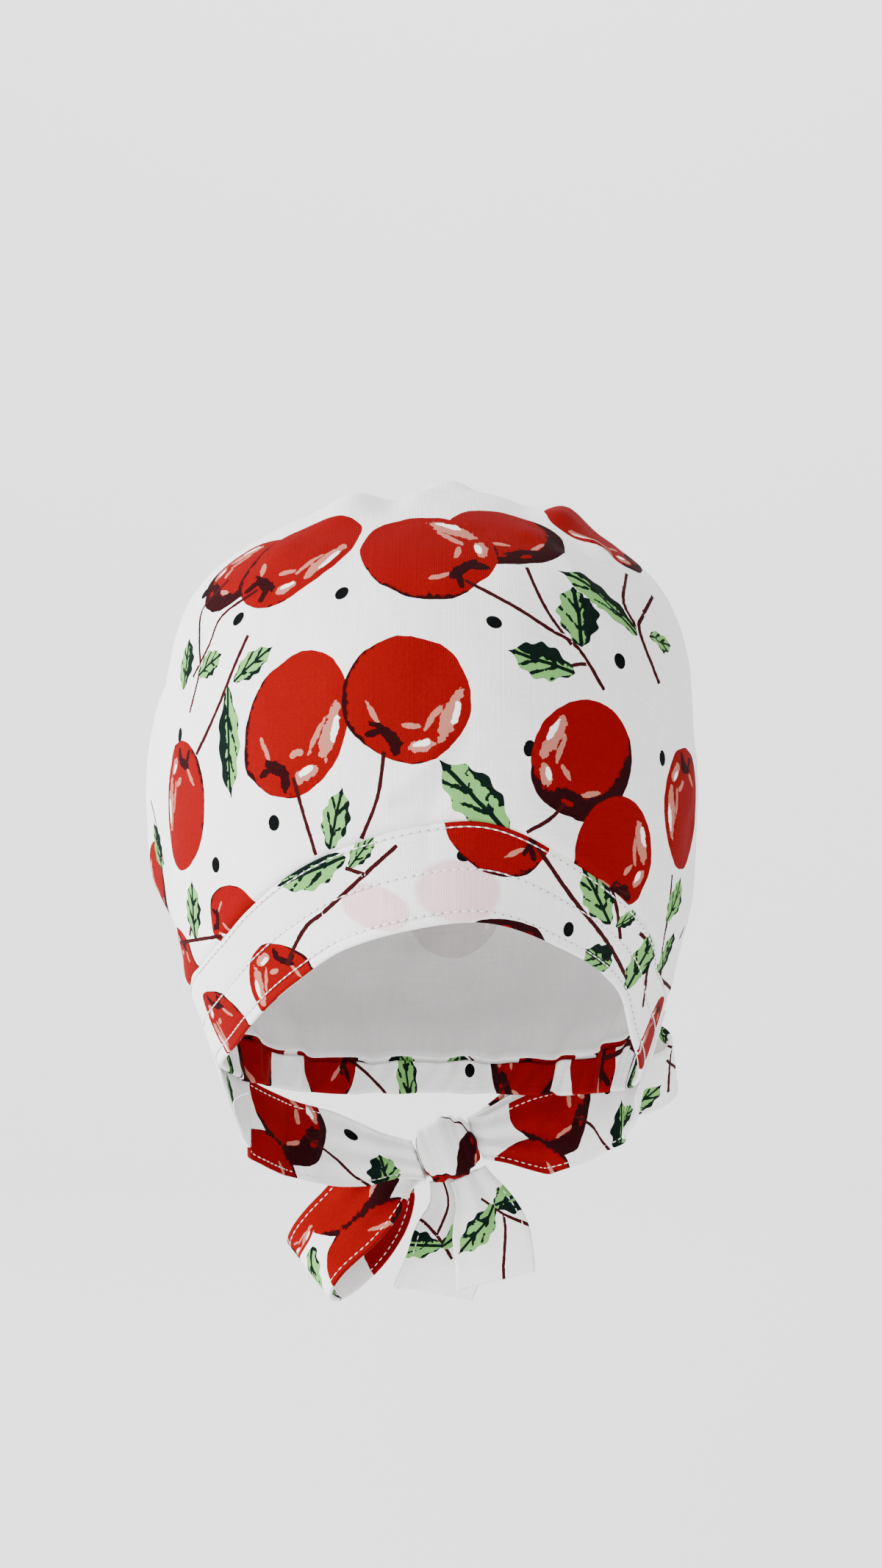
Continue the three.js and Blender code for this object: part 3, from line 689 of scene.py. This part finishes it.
class Cloth:
    """A surface that takes the print, in millimetres, as it is worn or laid out flat."""

    def __init__(self, piece, flat=False):
        self.two_sided = flat
        self.mesh = mesh = piece.data
        corner = values_of(mesh.loops, "vertex_index", kind=int)
        self.starts = values_of(mesh.polygons, "loop_start", kind=int)
        self.sizes = np.diff(np.append(self.starts, len(corner)))
        self.worn_places = values_of(mesh.vertices, "co", 3)[corner] / mm
        self.worn_normals = values_of(mesh.polygons, "normal", 3)
        uv = values_of(mesh.uv_layers["cloth"].data, "uv", 2)
        self.flat_places = np.column_stack([uv, np.zeros(len(uv))])
        vertices = [v.co / mm for v in mesh.vertices]
        self.tree = BVHTree.FromPolygons(vertices, [p.vertices[:] for p in mesh.polygons])
        self.uvs = {layer: np.full((len(uv), 2), blank) for layer in print_layers}
        self.best = {layer: np.full(len(self.starts), 1e9) for layer in print_layers}
        self.lay(flat)

    def lay(self, flat):
        """Lays the cloth out flat for the next motifs, or puts it back as it is worn."""
        self.flat = flat
        self.places = self.flat_places if flat else self.worn_places
        self.normals = np.tile((0, 0, 1.0), (len(self.starts), 1)) if flat else self.worn_normals
        self.centres = np.add.reduceat(self.places, self.starts) / self.sizes[:, None]

    def pin(self, start, direction):
        """Where a straight pin meets the cloth, or where it ends if it misses it."""
        start, direction = Vector(start), Vector(direction)
        hit, normal, _, _ = self.tree.ray_cast(start, direction)
        if hit is None:
            end = np.array(start + direction)
            return end, unit(end * (1, 1, 0))
        return np.array(hit), np.array(normal)

    def settle(self, place):
        """The cloth's nearest place and its direction there."""
        near, normal, _, _ = self.tree.find_nearest(Vector(place))
        return np.array(near), np.array(normal)

    def is_in_front(self, place, normal):
        """Whether a place is in the camera's sight or close to it, where each motif has
        its own pin."""
        turned = dot(normal, unit(place - camera_point)) < turned_away
        return not self.flat and turned and place[1] < back_half_start

    def frame_at(self, normal):
        """Right and up directions on the cloth, as it is laid now."""
        if self.flat:
            return np.array([1.0, 0, 0]), np.array([0, 1.0, 0])
        return tangent_frame(normal)

    def axes_at(self, normal, turn):
        """Directions across and along a motif that is turned clockwise."""
        right, up = self.frame_at(normal)
        angle = math.radians(turn)
        across = right * math.cos(angle) - up * math.sin(angle)
        return across, up * math.cos(angle) + right * math.sin(angle)

    def corners_of(self, faces):
        """Numbers of the picked faces' corners, in the order of the UV maps."""
        return np.flatnonzero(np.repeat(faces, self.sizes))

    def stamp(self, layer, place, normal, turn, half_width, half_length, tone):
        """Gives the faces near a motif their places in the motif's own square."""
        facing = self.normals @ normal
        if not self.flat and dot(normal, place - camera_point) > 0 and self.two_sided:
            normal = -normal
        across, along = self.axes_at(normal, turn)
        offset = self.centres - place
        x, y = offset @ across / half_width, offset @ along / half_length
        gap = np.hypot(x, y)
        near = (gap < motif_margin) & (gap < self.best[layer]) & (facing > 0.05)
        near &= np.abs(offset @ normal) < motif_margin * max(half_width, half_length)
        self.best[layer][near] = gap[near]
        picked = self.corners_of(near)
        offset = self.places[picked] - place
        own = np.column_stack([offset @ across / half_width, offset @ along / half_length])
        self.uvs[layer][picked] = own + (tone_shift * tone, 0)

    def draw(self, places, normal, width):
        """A stem: each near face gets its place along it and beside it."""
        places = np.asarray(places)
        for i, (a, b) in enumerate(zip(places, places[1:])):
            run = b - a
            beside = unit(np.cross(normal, run))
            share = np.clip((self.centres - a) @ run / dot(run, run), 0, 1)
            gap = np.linalg.norm(self.centres - a - share[:, None] * run, axis=1)
            near = (gap < stem_margin) & (gap < self.best["stem"] - 1e-6) & (self.normals @ normal > 0)
            self.best["stem"][near] = gap[near]
            picked = self.corners_of(near)
            offset = self.places[picked] - a
            along = (i + offset @ run / dot(run, run)) / (len(places) - 1)
            self.uvs["stem"][picked] = np.column_stack([along, offset @ beside / (width / 2)])

    def sprig(self, place, normal, turn):
        """Prints one sprig, without the motifs that would come into the camera's sight."""
        across, along = self.axes_at(normal, turn)

        def at(x, y):
            spot = place + across * x + along * y
            return (spot, normal) if self.flat else self.settle(spot)

        for layer, x, y, own_turn, half_width, half_length, tone in sprig_motifs:
            spot, own_normal = at(x, y)
            if not self.is_in_front(spot, own_normal):
                self.stamp(layer, spot, own_normal, turn + own_turn, half_width, half_length, tone)
        for width, points in sprig_stems:
            spots = [at(x, y) for x, y in smooth_line(points)]
            if not any(self.is_in_front(*spot) for spot in spots):
                self.draw([place for place, _ in spots], normal, width)

    def finish(self):
        """Hands the print over to the mesh as one UV map for each layer."""
        for layer, uv in self.uvs.items():
            made = self.mesh.uv_layers.new(name=layer)
            made.data.foreach_set("uv", uv.ravel())


def smooth_line(points, pieces=4):
    """More points on a smooth line through the given ones."""
    rows = [(i, *p) for i, p in enumerate(points)]
    return read_table(rows, np.linspace(0, len(points) - 1, pieces * (len(points) - 1) + 1))


# Pins that go straight in from one side
side_pins = {
    "back": lambda across, height: ((-across, 300, height), (0, -1, 0)),
    "top": lambda across, height: ((across, height, 400), (0, 0, -1)),
}


def print_seen(cloth, surface):
    """Stamps the motifs that the camera sees on one piece."""

    def seen(across, height):
        direction = np.array([across, -forehead_reach, height]) - camera_point
        return cloth.pin(camera_point, direction)

    for layer, motifs in seen_motifs.get(surface, {}).items():
        for across, height, turn, *shape in motifs:
            place, normal = seen(across, height)
            # A crown pin that comes in through the opening prints nothing on the back.
            if surface != "crown" or place[1] < back_half_start:
                cloth.stamp(layer, place, normal, turn, *(shape or dot_shape))
    for width, points in seen_stems.get(surface, []):
        spots = [seen(x, y) for x, y in smooth_line(points)]
        middle = spots[len(spots) // 2][1]
        cloth.draw([place for place, _ in spots], middle, width)


# Materials
def linear(hex_colour):
    """An sRGB hex colour as linear red, green, blue and alpha."""
    channels = [int(hex_colour[i : i + 2], 16) / 255 for i in (1, 3, 5)]
    return (*(c / 12.92 if c <= 0.04045 else ((c + 0.055) / 1.055) ** 2.4 for c in channels), 1)


def add_node(tree, kind, inputs=(), operation=None, **settings):
    """Adds a node with its settings and inputs, which come in the order of its sockets or
    by their names, and gives its first output in use."""
    made = tree.nodes.new("ShaderNode" + kind)
    if operation:
        made.operation = operation
    for name, value in settings.items():
        setattr(made, name, value)
    for socket, value in inputs.items() if isinstance(inputs, dict) else enumerate(inputs):
        if isinstance(value, bpy.types.NodeSocket):
            tree.links.new(value, made.inputs[socket])
        else:
            made.inputs[socket].default_value = value
    return next(o for o in made.outputs if o.enabled)


def new_material(name, roughness):
    """A material, its shader and the function that adds its nodes."""
    material = bpy.data.materials.new(name)
    material.use_nodes = True
    shader = material.node_tree.nodes["Principled BSDF"]
    shader.inputs["Roughness"].default_value = roughness
    return material, shader, partial(add_node, material.node_tree)


# Brush strokes of a cherry in its own square, its stem towards +y. The half length lies
# along the stroke, which is turned anticlockwise from +y.
cherry_strokes = [
    # x, y, half width, half length, turn, ink
    (-0.7, -0.12, 0.13, 0.4, 10, "pink light"),
    (-0.5, 0.02, 0.05, 0.26, -4, "pink light"),
    (-0.76, -0.2, 0.06, 0.2, 14, "white light"),
    (-0.56, 0.5, 0.1, 0.2, -50, "pink light"),
    (-0.54, 0.46, 0.05, 0.12, -48, "white light"),
    (-0.26, 0.3, 0.05, 0.16, -62, "pink light"),
    (0.36, 0.44, 0.045, 0.2, 58, "pink light"),
    (0.0, 0.6, 0.08, 0.3, 86, "cherry shade"),
    (-0.2, 0.68, 0.08, 0.18, 36, "cherry shade"),
    (0.2, 0.7, 0.06, 0.16, -40, "cherry shade"),
    (0.02, 0.74, 0.05, 0.12, 84, "cherry red"),
]
# The inks are dark for their names, because the studio light is as strong as the photo's.
inks = {
    "cherry red": "#760002",
    "cherry shade": "#220205",
    "pink light": "#A8685A",
    "white light": "#F4F2F0",
    "leaf green": "#6BA058",
    "leaf dark": "#05140F",
    "stem brown": "#33080A",
    "dot black": "#040607",
}


def local_place(add, layer, wobble, amount):
    """A motif's own coordinates with a hand-brushed waver, and its tone."""
    place = add("UVMap", uv_map=layer)
    split = add("SeparateXYZ", [place])
    across, along = split.node.outputs[0], split.node.outputs[1]
    tone = add("Math", [across, tone_shift / 2], "GREATER_THAN")
    shifted = add("Math", [tone, -tone_shift, across], "MULTIPLY_ADD")
    own = add("CombineXYZ", [shifted, along])
    waver = add("VectorMath", {0: wobble, 3: amount}, "SCALE")
    place = add("VectorMath", [own, waver], "ADD")
    return place, tone


def paint(add, below, mask, colour):
    """Covers what is below with a colour where the mask is 1."""
    return add("MixRGB", [mask, below, colour])


def paint_cherry(add, ground, layer, wobble, grain):
    """A round cherry: red, shaded in dry dark strokes on one side, with lit patches."""
    place, tone = local_place(add, layer, wobble, 0.1)
    # A shaded cherry is the mirror image of a lit one.
    mirror = add("Math", [tone, -2.0, 1.0], "MULTIPLY_ADD")
    mirror = add("CombineXYZ", [mirror, 1.0])
    place = add("VectorMath", [place, mirror], "MULTIPLY")
    reach = add("VectorMath", [place], "LENGTH")
    # The dip where the stem grows out draws the outline in a little.
    dip = add("VectorMath", [place, (0, 1.3, 0)], "DISTANCE")
    drawn_in = add("MapRange", [dip, 0.1, 0.75, 0.12, 0.0])
    outline = add("Math", [reach, drawn_in], "ADD")
    inside = add("Math", [outline, 1.0], "LESS_THAN")
    # The shade is a crescent beside the stem, wide on a shaded cherry and thin on a lit one.
    wide = add("Math", [tone, 3.6, 1.0], "MULTIPLY_ADD")
    centre = add("VectorMath", {0: (-0.05, -0.07, 0), 3: wide}, "SCALE")
    off_centre = add("VectorMath", [place, centre], "DISTANCE")
    rough = add("Math", [grain, 0.25, off_centre], "MULTIPLY_ADD")
    rim = add("MapRange", [rough, 1.0, 1.03, 0.0, 1.0])
    body = paint(add, linear(inks["cherry red"]), rim, linear(inks["cherry shade"]))
    for x, y, half_width, half_length, turn, ink in cherry_strokes:
        turned, size = (0, 0, math.radians(turn)), (half_width, half_length, 1)
        stroke = add("Mapping", [place, (x, y, 0), turned, size], vector_type="TEXTURE")
        reach = add("VectorMath", [stroke], "LENGTH")
        ragged = add("Math", [grain, 1.3, reach], "MULTIPLY_ADD")
        mask = add("Math", [ragged, 1.0], "LESS_THAN")
        body = paint(add, body, mask, linear(inks[ink]))
    return paint(add, ground, inside, body)


def paint_leaf(add, ground, wobble, grain):
    """A pointed leaf, light green with dark veins and one dark side."""
    place, tone = local_place(add, "leaf", wobble, 0.16)
    split = add("SeparateXYZ", [place])
    x, y = split.node.outputs[0], split.node.outputs[1]
    side = add("Math", [x], "ABSOLUTE")
    bulge = add("Math", [y, y], "MULTIPLY")
    lobes = add("Math", [y, 13.0], "MULTIPLY")
    lobes = add("Math", [lobes], "SINE")
    width = add("Math", [lobes, 0.09, 0.98], "MULTIPLY_ADD")
    width = add("Math", [width, bulge], "SUBTRACT")
    inside = add("Math", [side, width], "LESS_THAN")
    # Veins slope forward from the middle rib and thin out towards the edge.
    slope = add("Math", [side, -0.75, y], "MULTIPLY_ADD")
    slope = add("Math", [x, 0.16, slope], "MULTIPLY_ADD")
    wave = add("Math", [slope, 10.0], "MULTIPLY")
    wave = add("Math", [wave], "SINE")
    inked = add("Math", [grain, 3.4, wave], "MULTIPLY_ADD")
    fading = add("Math", [side, 0.5, 0.5], "MULTIPLY_ADD")
    veins = add("Math", [inked, fading], "GREATER_THAN")
    rib = add("Math", [side, 0.1], "LESS_THAN")
    dark_from = add("MapRange", [tone, 0.0, 1.0, 0.62, 0.2])
    ragged = add("Math", [grain, 0.8, x], "MULTIPLY_ADD")
    edge = add("Math", [ragged, dark_from], "GREATER_THAN")
    dark = add("Math", [veins, rib], "MAXIMUM")
    dark = add("Math", [dark, edge], "MAXIMUM")
    body = paint(add, linear(inks["leaf green"]), dark, linear(inks["leaf dark"]))
    return paint(add, ground, inside, body)


def printed_cotton(name, ink):
    """Plain-woven cotton with a matt screen print, which shows as strongly as ink says.
    The threads are drawn thread_spacing apart, twice as coarse as real ones, so that the
    weave shows, with the odd thicker thread."""
    material, shader, add = new_material(name, 0.88)
    shader.inputs["Specular IOR Level"].default_value = 0.06
    links = material.node_tree.links
    place = add("TexCoord").node.outputs["Object"]
    flat = add("UVMap", uv_map="cloth")
    wobble = add("TexNoise", {"Vector": place, "Scale": 120.0, "Detail": 2.0}).node.outputs["Color"]
    wobble = add("VectorMath", [wobble, (0.5, 0.5, 0.5)], "SUBTRACT")
    brush = add("TexNoise", {"Vector": place, "Scale": 420.0, "Detail": 3.0})
    grain = add("Math", [brush, 0.5], "SUBTRACT")

    # Threads: fine streaks along both directions of the weave
    streaks = []
    for scale in ((0.05, 1 / thread_spacing, 1), (1 / thread_spacing, 0.05, 1)):
        run = add("Mapping", {0: flat, 3: scale})
        streaks.append(add("TexNoise", {"Vector": run, "Scale": 1.0, "Detail": 3.0}))
    slub = add("Math", [streaks[0], streaks[1]], "ADD")
    mottle = add("MapRange", [slub, 0.7, 1.3, 0.0, 1.0])
    ground = paint(add, linear("#EDEBEA"), mottle, linear("#F7F6F5"))

    # The facing's print shows pink through the band.
    patch, _ = local_place(add, "show", wobble, 0.2)
    shown = add("VectorMath", [patch], "LENGTH")
    shown = add("MapRange", [shown, 0.9, 1.05, 0.85, 0.0])
    colour = paint(add, ground, shown, linear("#E3BDC1"))
    dot_place, _ = local_place(add, "dot", wobble, 0.3)
    reach = add("VectorMath", [dot_place], "LENGTH")
    on_dot = add("Math", [reach, 1.0], "LESS_THAN")
    colour = paint(add, colour, on_dot, linear(inks["dot black"]))
    colour = paint_cherry(add, colour, "cherry_back", wobble, grain)
    colour = paint_cherry(add, colour, "cherry_front", wobble, grain)
    stem = add("SeparateXYZ", [add("UVMap", uv_map="stem")])
    beside = add("Math", [stem.node.outputs[1]], "ABSOLUTE")
    uneven = add("Math", [grain, 0.8, beside], "MULTIPLY_ADD")
    on_stem = add("Math", [uneven, 0.95], "LESS_THAN")
    middle = add("Math", [stem.node.outputs[0], 0.5], "SUBTRACT")
    middle = add("Math", [middle], "ABSOLUTE")
    within = add("Math", [middle, 0.5], "LESS_THAN")
    on_stem = add("Math", [on_stem, within], "MULTIPLY")
    colour = paint(add, colour, on_stem, linear(inks["stem brown"]))
    colour = paint_leaf(add, colour, wobble, grain)
    colour = paint(add, ground, ink, colour)
    links.new(colour, shader.inputs["Base Color"])

    # Weave relief from two crossed waves, and the thicker threads
    relief = slub
    wave_scale = 1 / thread_spacing / 3.2
    for axis in "XY":
        waves = {"Vector": flat, "Scale": wave_scale, "Distortion": 0.6}
        threads = add("TexWave", waves, bands_direction=axis)
        relief = add("Math", [threads, 0.35, relief], "MULTIPLY_ADD")
    creases = add("TexNoise", {"Vector": place, "Scale": 55.0, "Detail": 4.0})
    relief = add("Math", [creases, 1.6, relief], "MULTIPLY_ADD")
    bump = add("Bump", {"Height": relief, "Strength": 0.35, "Distance": 0.0004})
    links.new(bump, shader.inputs["Normal"])
    return material


def sewing_thread():
    """Spun polyester thread: white, a little brighter and smoother than the cotton."""
    material, shader, add = new_material("spun polyester thread", 0.55)
    place = add("TexCoord").node.outputs["Object"]
    twist = add("TexNoise", {"Vector": place, "Scale": 2500.0, "Detail": 1.0})
    colour = paint(add, linear("#E9E7E6"), twist, linear("#FFFFFF"))
    material.node_tree.links.new(colour, shader.inputs["Base Color"])
    return material


def plain_matt(name, colour):
    """A matt surface of one colour."""
    material, shader, _ = new_material(name, 0.9)
    shader.inputs["Base Color"].default_value = linear(colour)
    return material


right_side = printed_cotton("screen-printed cotton", 1.0)
wrong_side = printed_cotton("screen-printed cotton, wrong side", 0.22)
thread = sewing_thread()
# Painted shade: a grey bead in each needle hole stands for the shade where little light falls between
# the stitches
needle_hole_shade = plain_matt("painted shade in a needle hole", "#8F8987")


def finish_piece(mesh, name, materials):
    """Puts a piece of the cap in the scene and has it ride on the cap's one body."""
    mesh.polygons.foreach_set("use_smooth", [True] * len(mesh.polygons))
    piece = bpy.data.objects.new(name, mesh)
    bpy.context.scene.collection.objects.link(piece)
    for material in materials:
        mesh.materials.append(material)
    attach(piece, "root")
    return piece


def cloth_piece(name, columns, rows, point_at, cut, wall, offset, materials):
    """A sheet laid over point_at, which takes shares along and across the cut cloth."""
    bm = bmesh.new()
    bmesh.ops.create_grid(bm, x_segments=columns, y_segments=rows, size=0.5)
    bm.verts.index_update()
    shares = np.array([v.co[:2] for v in bm.verts]) + 0.5
    points = point_at(shares[:, 0], shares[:, 1]) * mm
    flat = bm.loops.layers.uv.new("cloth")
    for face in bm.faces:
        for corner in face.loops:
            corner[flat].uv = shares[corner.vert.index] * cut
    for vertex, point in zip(bm.verts, points):
        vertex.co = point
    bmesh.ops.remove_doubles(bm, verts=bm.verts, dist=0.02 * mm)
    mesh = bpy.data.meshes.new(name)
    bm.to_mesh(mesh)
    bm.free()
    piece = finish_piece(mesh, name, materials)
    solid = piece.modifiers.new("cloth thickness", "SOLIDIFY")
    solid.thickness = wall * mm
    solid.offset = offset
    solid.use_even_offset = False
    solid.material_offset = len(materials) - 1
    return piece


def walk(spots, walked, values):
    """Values at spots along a line that was walked past the given values."""
    return np.column_stack([np.interp(spots, walked, column) for column in values.T])


def stitch_bead():
    """A ball of three rings and two poles, as points and faces. It is stated here because
    Blender's own sphere gives its faces in an order that changes from run to run."""
    turns = np.radians(np.arange(30, 390, 60))
    around = np.stack([np.cos(turns), np.sin(turns), 0 * turns], 1)
    up = np.array([0.0, 0.0, 1.0])
    rings = [around * math.sin(tilt) + up * math.cos(tilt) for tilt in np.radians([45, 90, 135])]
    count = len(turns)
    last_ring = 2 * count
    top, bottom = last_ring + count, last_ring + count + 1
    faces = []
    for left in range(count):
        right = (left + 1) % count
        faces += [[left, right, top], [last_ring + right, last_ring + left, bottom]]
        for row in (0, count):
            faces.append([row + left, row + left + count, row + right + count, row + right])
    return np.concatenate([*rings, [up, -up]]), faces


def stitch_piece(name, rows):
    """Rows of stitches, each row a line of points and the cloth's outward directions.
    After each stitch comes a grey bead of painted shade in the hole where its thread goes through the
    cloth."""
    bead, bead_faces = stitch_bead()
    points_made, faces_made, parts = [], [], []
    for points, normals in rows:
        steps = np.linalg.norm(np.diff(points, axis=0), axis=1)
        walked = np.append(0, np.cumsum(steps))
        spots = np.arange(stitch_pitch / 2, walked[-1], stitch_pitch)
        place = walk(spots, walked, points)
        ahead = walk(spots + 0.5, walked, points)
        out = walk(spots, walked, normals)
        run = unit(ahead - place + 1e-6)
        out = unit(out - run * dot(out, run)[:, None])
        stitch = (stitch_length, stitch_width, stitch_sink)
        # The second bead is painted shade in the needle hole.
        hole = (hole_length, hole_length, hole_sink)
        for part, (length, width, sink) in enumerate((stitch, hole)):
            middles = place + run * part * stitch_pitch / 2 - out * sink
            axes = np.stack([run * length, np.cross(out, run) * width, out * stitch_width], 1) / 2
            for middle, axis in zip(middles, axes):
                first = len(bead) * len(points_made)
                points_made.append((bead @ axis + middle) * mm)
                faces_made += [[first + i for i in face] for face in bead_faces]
                parts += [part] * len(bead_faces)
    mesh = bpy.data.meshes.new(name)
    mesh.from_pydata(np.concatenate(points_made).tolist(), [], faces_made)
    mesh.polygons.foreach_set("material_index", parts)
    return finish_piece(mesh, name, [thread, needle_hole_shade])


def loose_thread(name, points):
    """A thread end that sticks out, laid along a smooth line."""
    curve = bpy.data.curves.new(name, "CURVE")
    curve.dimensions = "3D"
    curve.bevel_depth = 0.18 * mm
    curve.bevel_resolution = 2
    curve.use_fill_caps = True
    line = smooth_line(points, 6) * mm
    spline = curve.splines.new("POLY")
    spline.points.add(len(line) - 1)
    spline.points.foreach_set("co", np.column_stack([line, np.ones(len(line))]).ravel())
    holder = bpy.data.objects.new(name, curve)
    mesh = bpy.data.meshes.new_from_object(holder)
    bpy.data.objects.remove(holder)
    return finish_piece(mesh, name, [thread])


# Camera, lights and backdrop
camera_data = bpy.data.cameras.new("camera")
camera_data.sensor_fit = "VERTICAL"
camera_data.sensor_height = sensor_height
camera_data.lens = sensor_height * focal_pixels / image_height
camera = bpy.data.objects.new("camera", camera_data)
camera.location = camera_point * mm
camera.rotation_euler = (math.radians(90), 0, 0)
bpy.context.scene.collection.objects.link(camera)
bpy.context.scene.camera = camera

world = bpy.data.worlds.new("studio")
world.use_nodes = True
world.node_tree.nodes["Background"].inputs["Color"].default_value = linear("#F4F5F8")
world.node_tree.nodes["Background"].inputs["Strength"].default_value = 0.75
bpy.context.scene.world = world

softboxes = [
    # name, place, aim, size, power
    ("window light", (-1.5, -0.6, 0.55), (0, 0, 0.05), 0.7, 68),
    ("front light", (0.2, -1.6, 0.5), (0, 0, 0.05), 1.2, 6),
    ("top light", (0.1, 0.2, 1.6), (0, 0, 0.05), 1.0, 5),
    ("back light", (0.2, 1.3, 0.9), (0, 0, 0.05), 1.2, 4),
    ("wall light", (0, 0.9, 1.9), (0, 2.2, 0.4), 1.4, 44),
]
for name, place, aim, size, power in softboxes:
    light = bpy.data.lights.new(name, "AREA")
    light.size = size
    light.energy = power
    lamp = bpy.data.objects.new(name, light)
    lamp.location = place
    lamp.rotation_euler = (Vector(aim) - Vector(place)).to_track_quat("-Z", "Y").to_euler()
    bpy.context.scene.collection.objects.link(lamp)


def backdrop():
    """A round pale studio floor that curves up into its wall."""
    floor_z, flat_radius, bend = -0.34, 1.5, 0.7
    bm = bmesh.new()
    profile = [(0.0, 0.0)]
    turns = [math.radians(a) for a in range(0, 91, 6)]
    profile += [(flat_radius + bend * math.sin(t), bend * (1 - math.cos(t))) for t in turns]
    profile.append((flat_radius + bend, 2.4))
    line = [bm.verts.new((0, -radius, floor_z + height)) for radius, height in profile]
    edges = [bm.edges.new(pair) for pair in zip(line, line[1:])]
    bmesh.ops.spin(
        bm, geom=line + edges, cent=(0, 0, 0), axis=(0, 0, 1), angle=2 * math.pi, steps=96,
        use_merge=True,
    )
    bmesh.ops.remove_doubles(bm, verts=bm.verts, dist=0.0001)
    mesh = bpy.data.meshes.new("studio_floor")
    bm.to_mesh(mesh)
    bm.free()
    mesh.polygons.foreach_set("use_smooth", [True] * len(mesh.polygons))
    mesh.materials.append(plain_matt("matt wall paint", "#EFEFEF"))
    floor = bpy.data.objects.new("studio_floor", mesh)
    bpy.context.scene.collection.objects.link(floor)


backdrop()


# The pieces of the cap
def make_crown():
    """The crown, with sprigs where the camera doesn't see it and the motifs that it sees."""
    both_faces = [right_side, wrong_side]
    crown = cloth_piece("crown_cloth", 300, 120, crown_surface, (560, 190), crown_wall, -1, both_faces)
    # The threads run across the crown and from the forehead over the top to the nape,
    # round a line from side to side through the head.
    line_y, line_z = 15, 60
    cloth = Cloth(crown)
    y, z = cloth.places[:, 1] - line_y, cloth.places[:, 2] - line_z
    flat = np.column_stack([cloth.places[:, 0], np.arctan2(y, z) * crown_half_width])
    crown.data.uv_layers["cloth"].data.foreach_set("uv", flat.ravel())
    for side, across, height, turn in crown_sprigs:
        cloth.sprig(*cloth.pin(*side_pins[side](across, height)), turn)
    print_seen(cloth, "crown")
    cloth.finish()
    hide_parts("crown")
    return crown


def make_strip(node, columns, rows, point_at, cut, wall, offset):
    """A strip or a strap. Its sprigs are printed as it lies flat, its seen motifs as worn."""
    both_faces = [right_side, right_side]
    piece = cloth_piece(f"{node}_cloth", columns, rows, point_at, cut, wall, offset, both_faces)
    cloth = Cloth(piece, flat=True)
    for along, across, turn in strap_sprigs.get(node, []):
        cloth.sprig(np.array([along, across, 0.0]), np.array([0, 0, 1.0]), turn)
    cloth.lay(flat=False)
    print_seen(cloth, node)
    cloth.finish()
    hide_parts(node)
    return piece


strap_surfaces = {
    "tie_right": tie_surface("right"),
    "tie_left": tie_surface("left"),
    "bow_loop_right": loop_surface("right"),
    "bow_loop_left": loop_surface("left"),
    "bow_tail_right": tail_surface("right"),
    "bow_tail_left": tail_surface("left"),
}


def make_strap(node, columns, length):
    """A strap of the ties' width, with its cloth's whole thickness round its middle."""
    return make_strip(node, columns, 34, strap_surfaces[node], (length, tie_width), tie_wall, 0)


crown = make_crown()
band_surface = hemmed_strip(*band_ends, facing_share, 0.0, band_rows)
band = make_strip("brim_band", 260, 60, band_surface, (290, 50), strip_wall, -1)
casing_surface = hemmed_strip(band_ends[1] + 0.4, 360 + band_ends[0] - 0.4, 0.9, 0.7, casing_rows)
casing = make_strip("nape_casing", 260, 36, casing_surface, (330, 27), strip_wall, -1)
ties = {hand: make_strap(f"tie_{hand}", 120, 115) for hand in sides}
make_strip("bow_knot", 72, 48, knot_surface, (70, 34), 0.8, -1)
loops = {hand: make_strap(f"bow_loop_{hand}", 150, 2 * loop_lengths[hand]) for hand in sides}
tails = {hand: make_strap(f"bow_tail_{hand}", 60, tail_lengths[hand]) for hand in sides}


def strip_row(first, last, share):
    """A row of stitches round the band or the casing."""
    degrees = np.linspace(first, last, 160)
    return strip_point(degrees, np.full(len(degrees), share)), outward_at(degrees)


def edge_rows(point_at, wall):
    """Stitches along both edges of a strap, on both of its sides."""
    rows = []
    along = np.linspace(0.01, 0.99, 120)
    for share in strap_rows:
        across = np.full(len(along), share)
        point = point_at(along, across)
        forward = point_at(along + 0.005, across) - point_at(along - 0.005, across)
        normal = unit(np.cross(forward, point_at(along, across + 0.02) - point))
        rows += [(point + normal * side * wall / 2, normal * side) for side in (1, -1)]
    return rows


first, last = band_ends
stitch_piece("band_stitches", [strip_row(first + 0.6, last - 0.6, share) for share in band_rows])
stitch_piece("casing_stitches", [strip_row(last + 1, 359 + first, share) for share in casing_rows])
for name, surface in strap_surfaces.items():
    stitch_piece(f"{name}_stitches", edge_rows(surface, tie_wall))

# Two thread ends show at the left: a small ring above the band's end, a hook below it.
ring = [(-83, -8, 12), (-86, -9, 13), (-87.5, -9, 10), (-85.5, -8, 8), (-83.5, -8, 10)]
loose_thread("thread_ring", ring)
loose_thread("thread_hook", [(-66, 4, -29), (-69, 3, -30), (-71, 2, -32), (-70.5, 2, -36)])
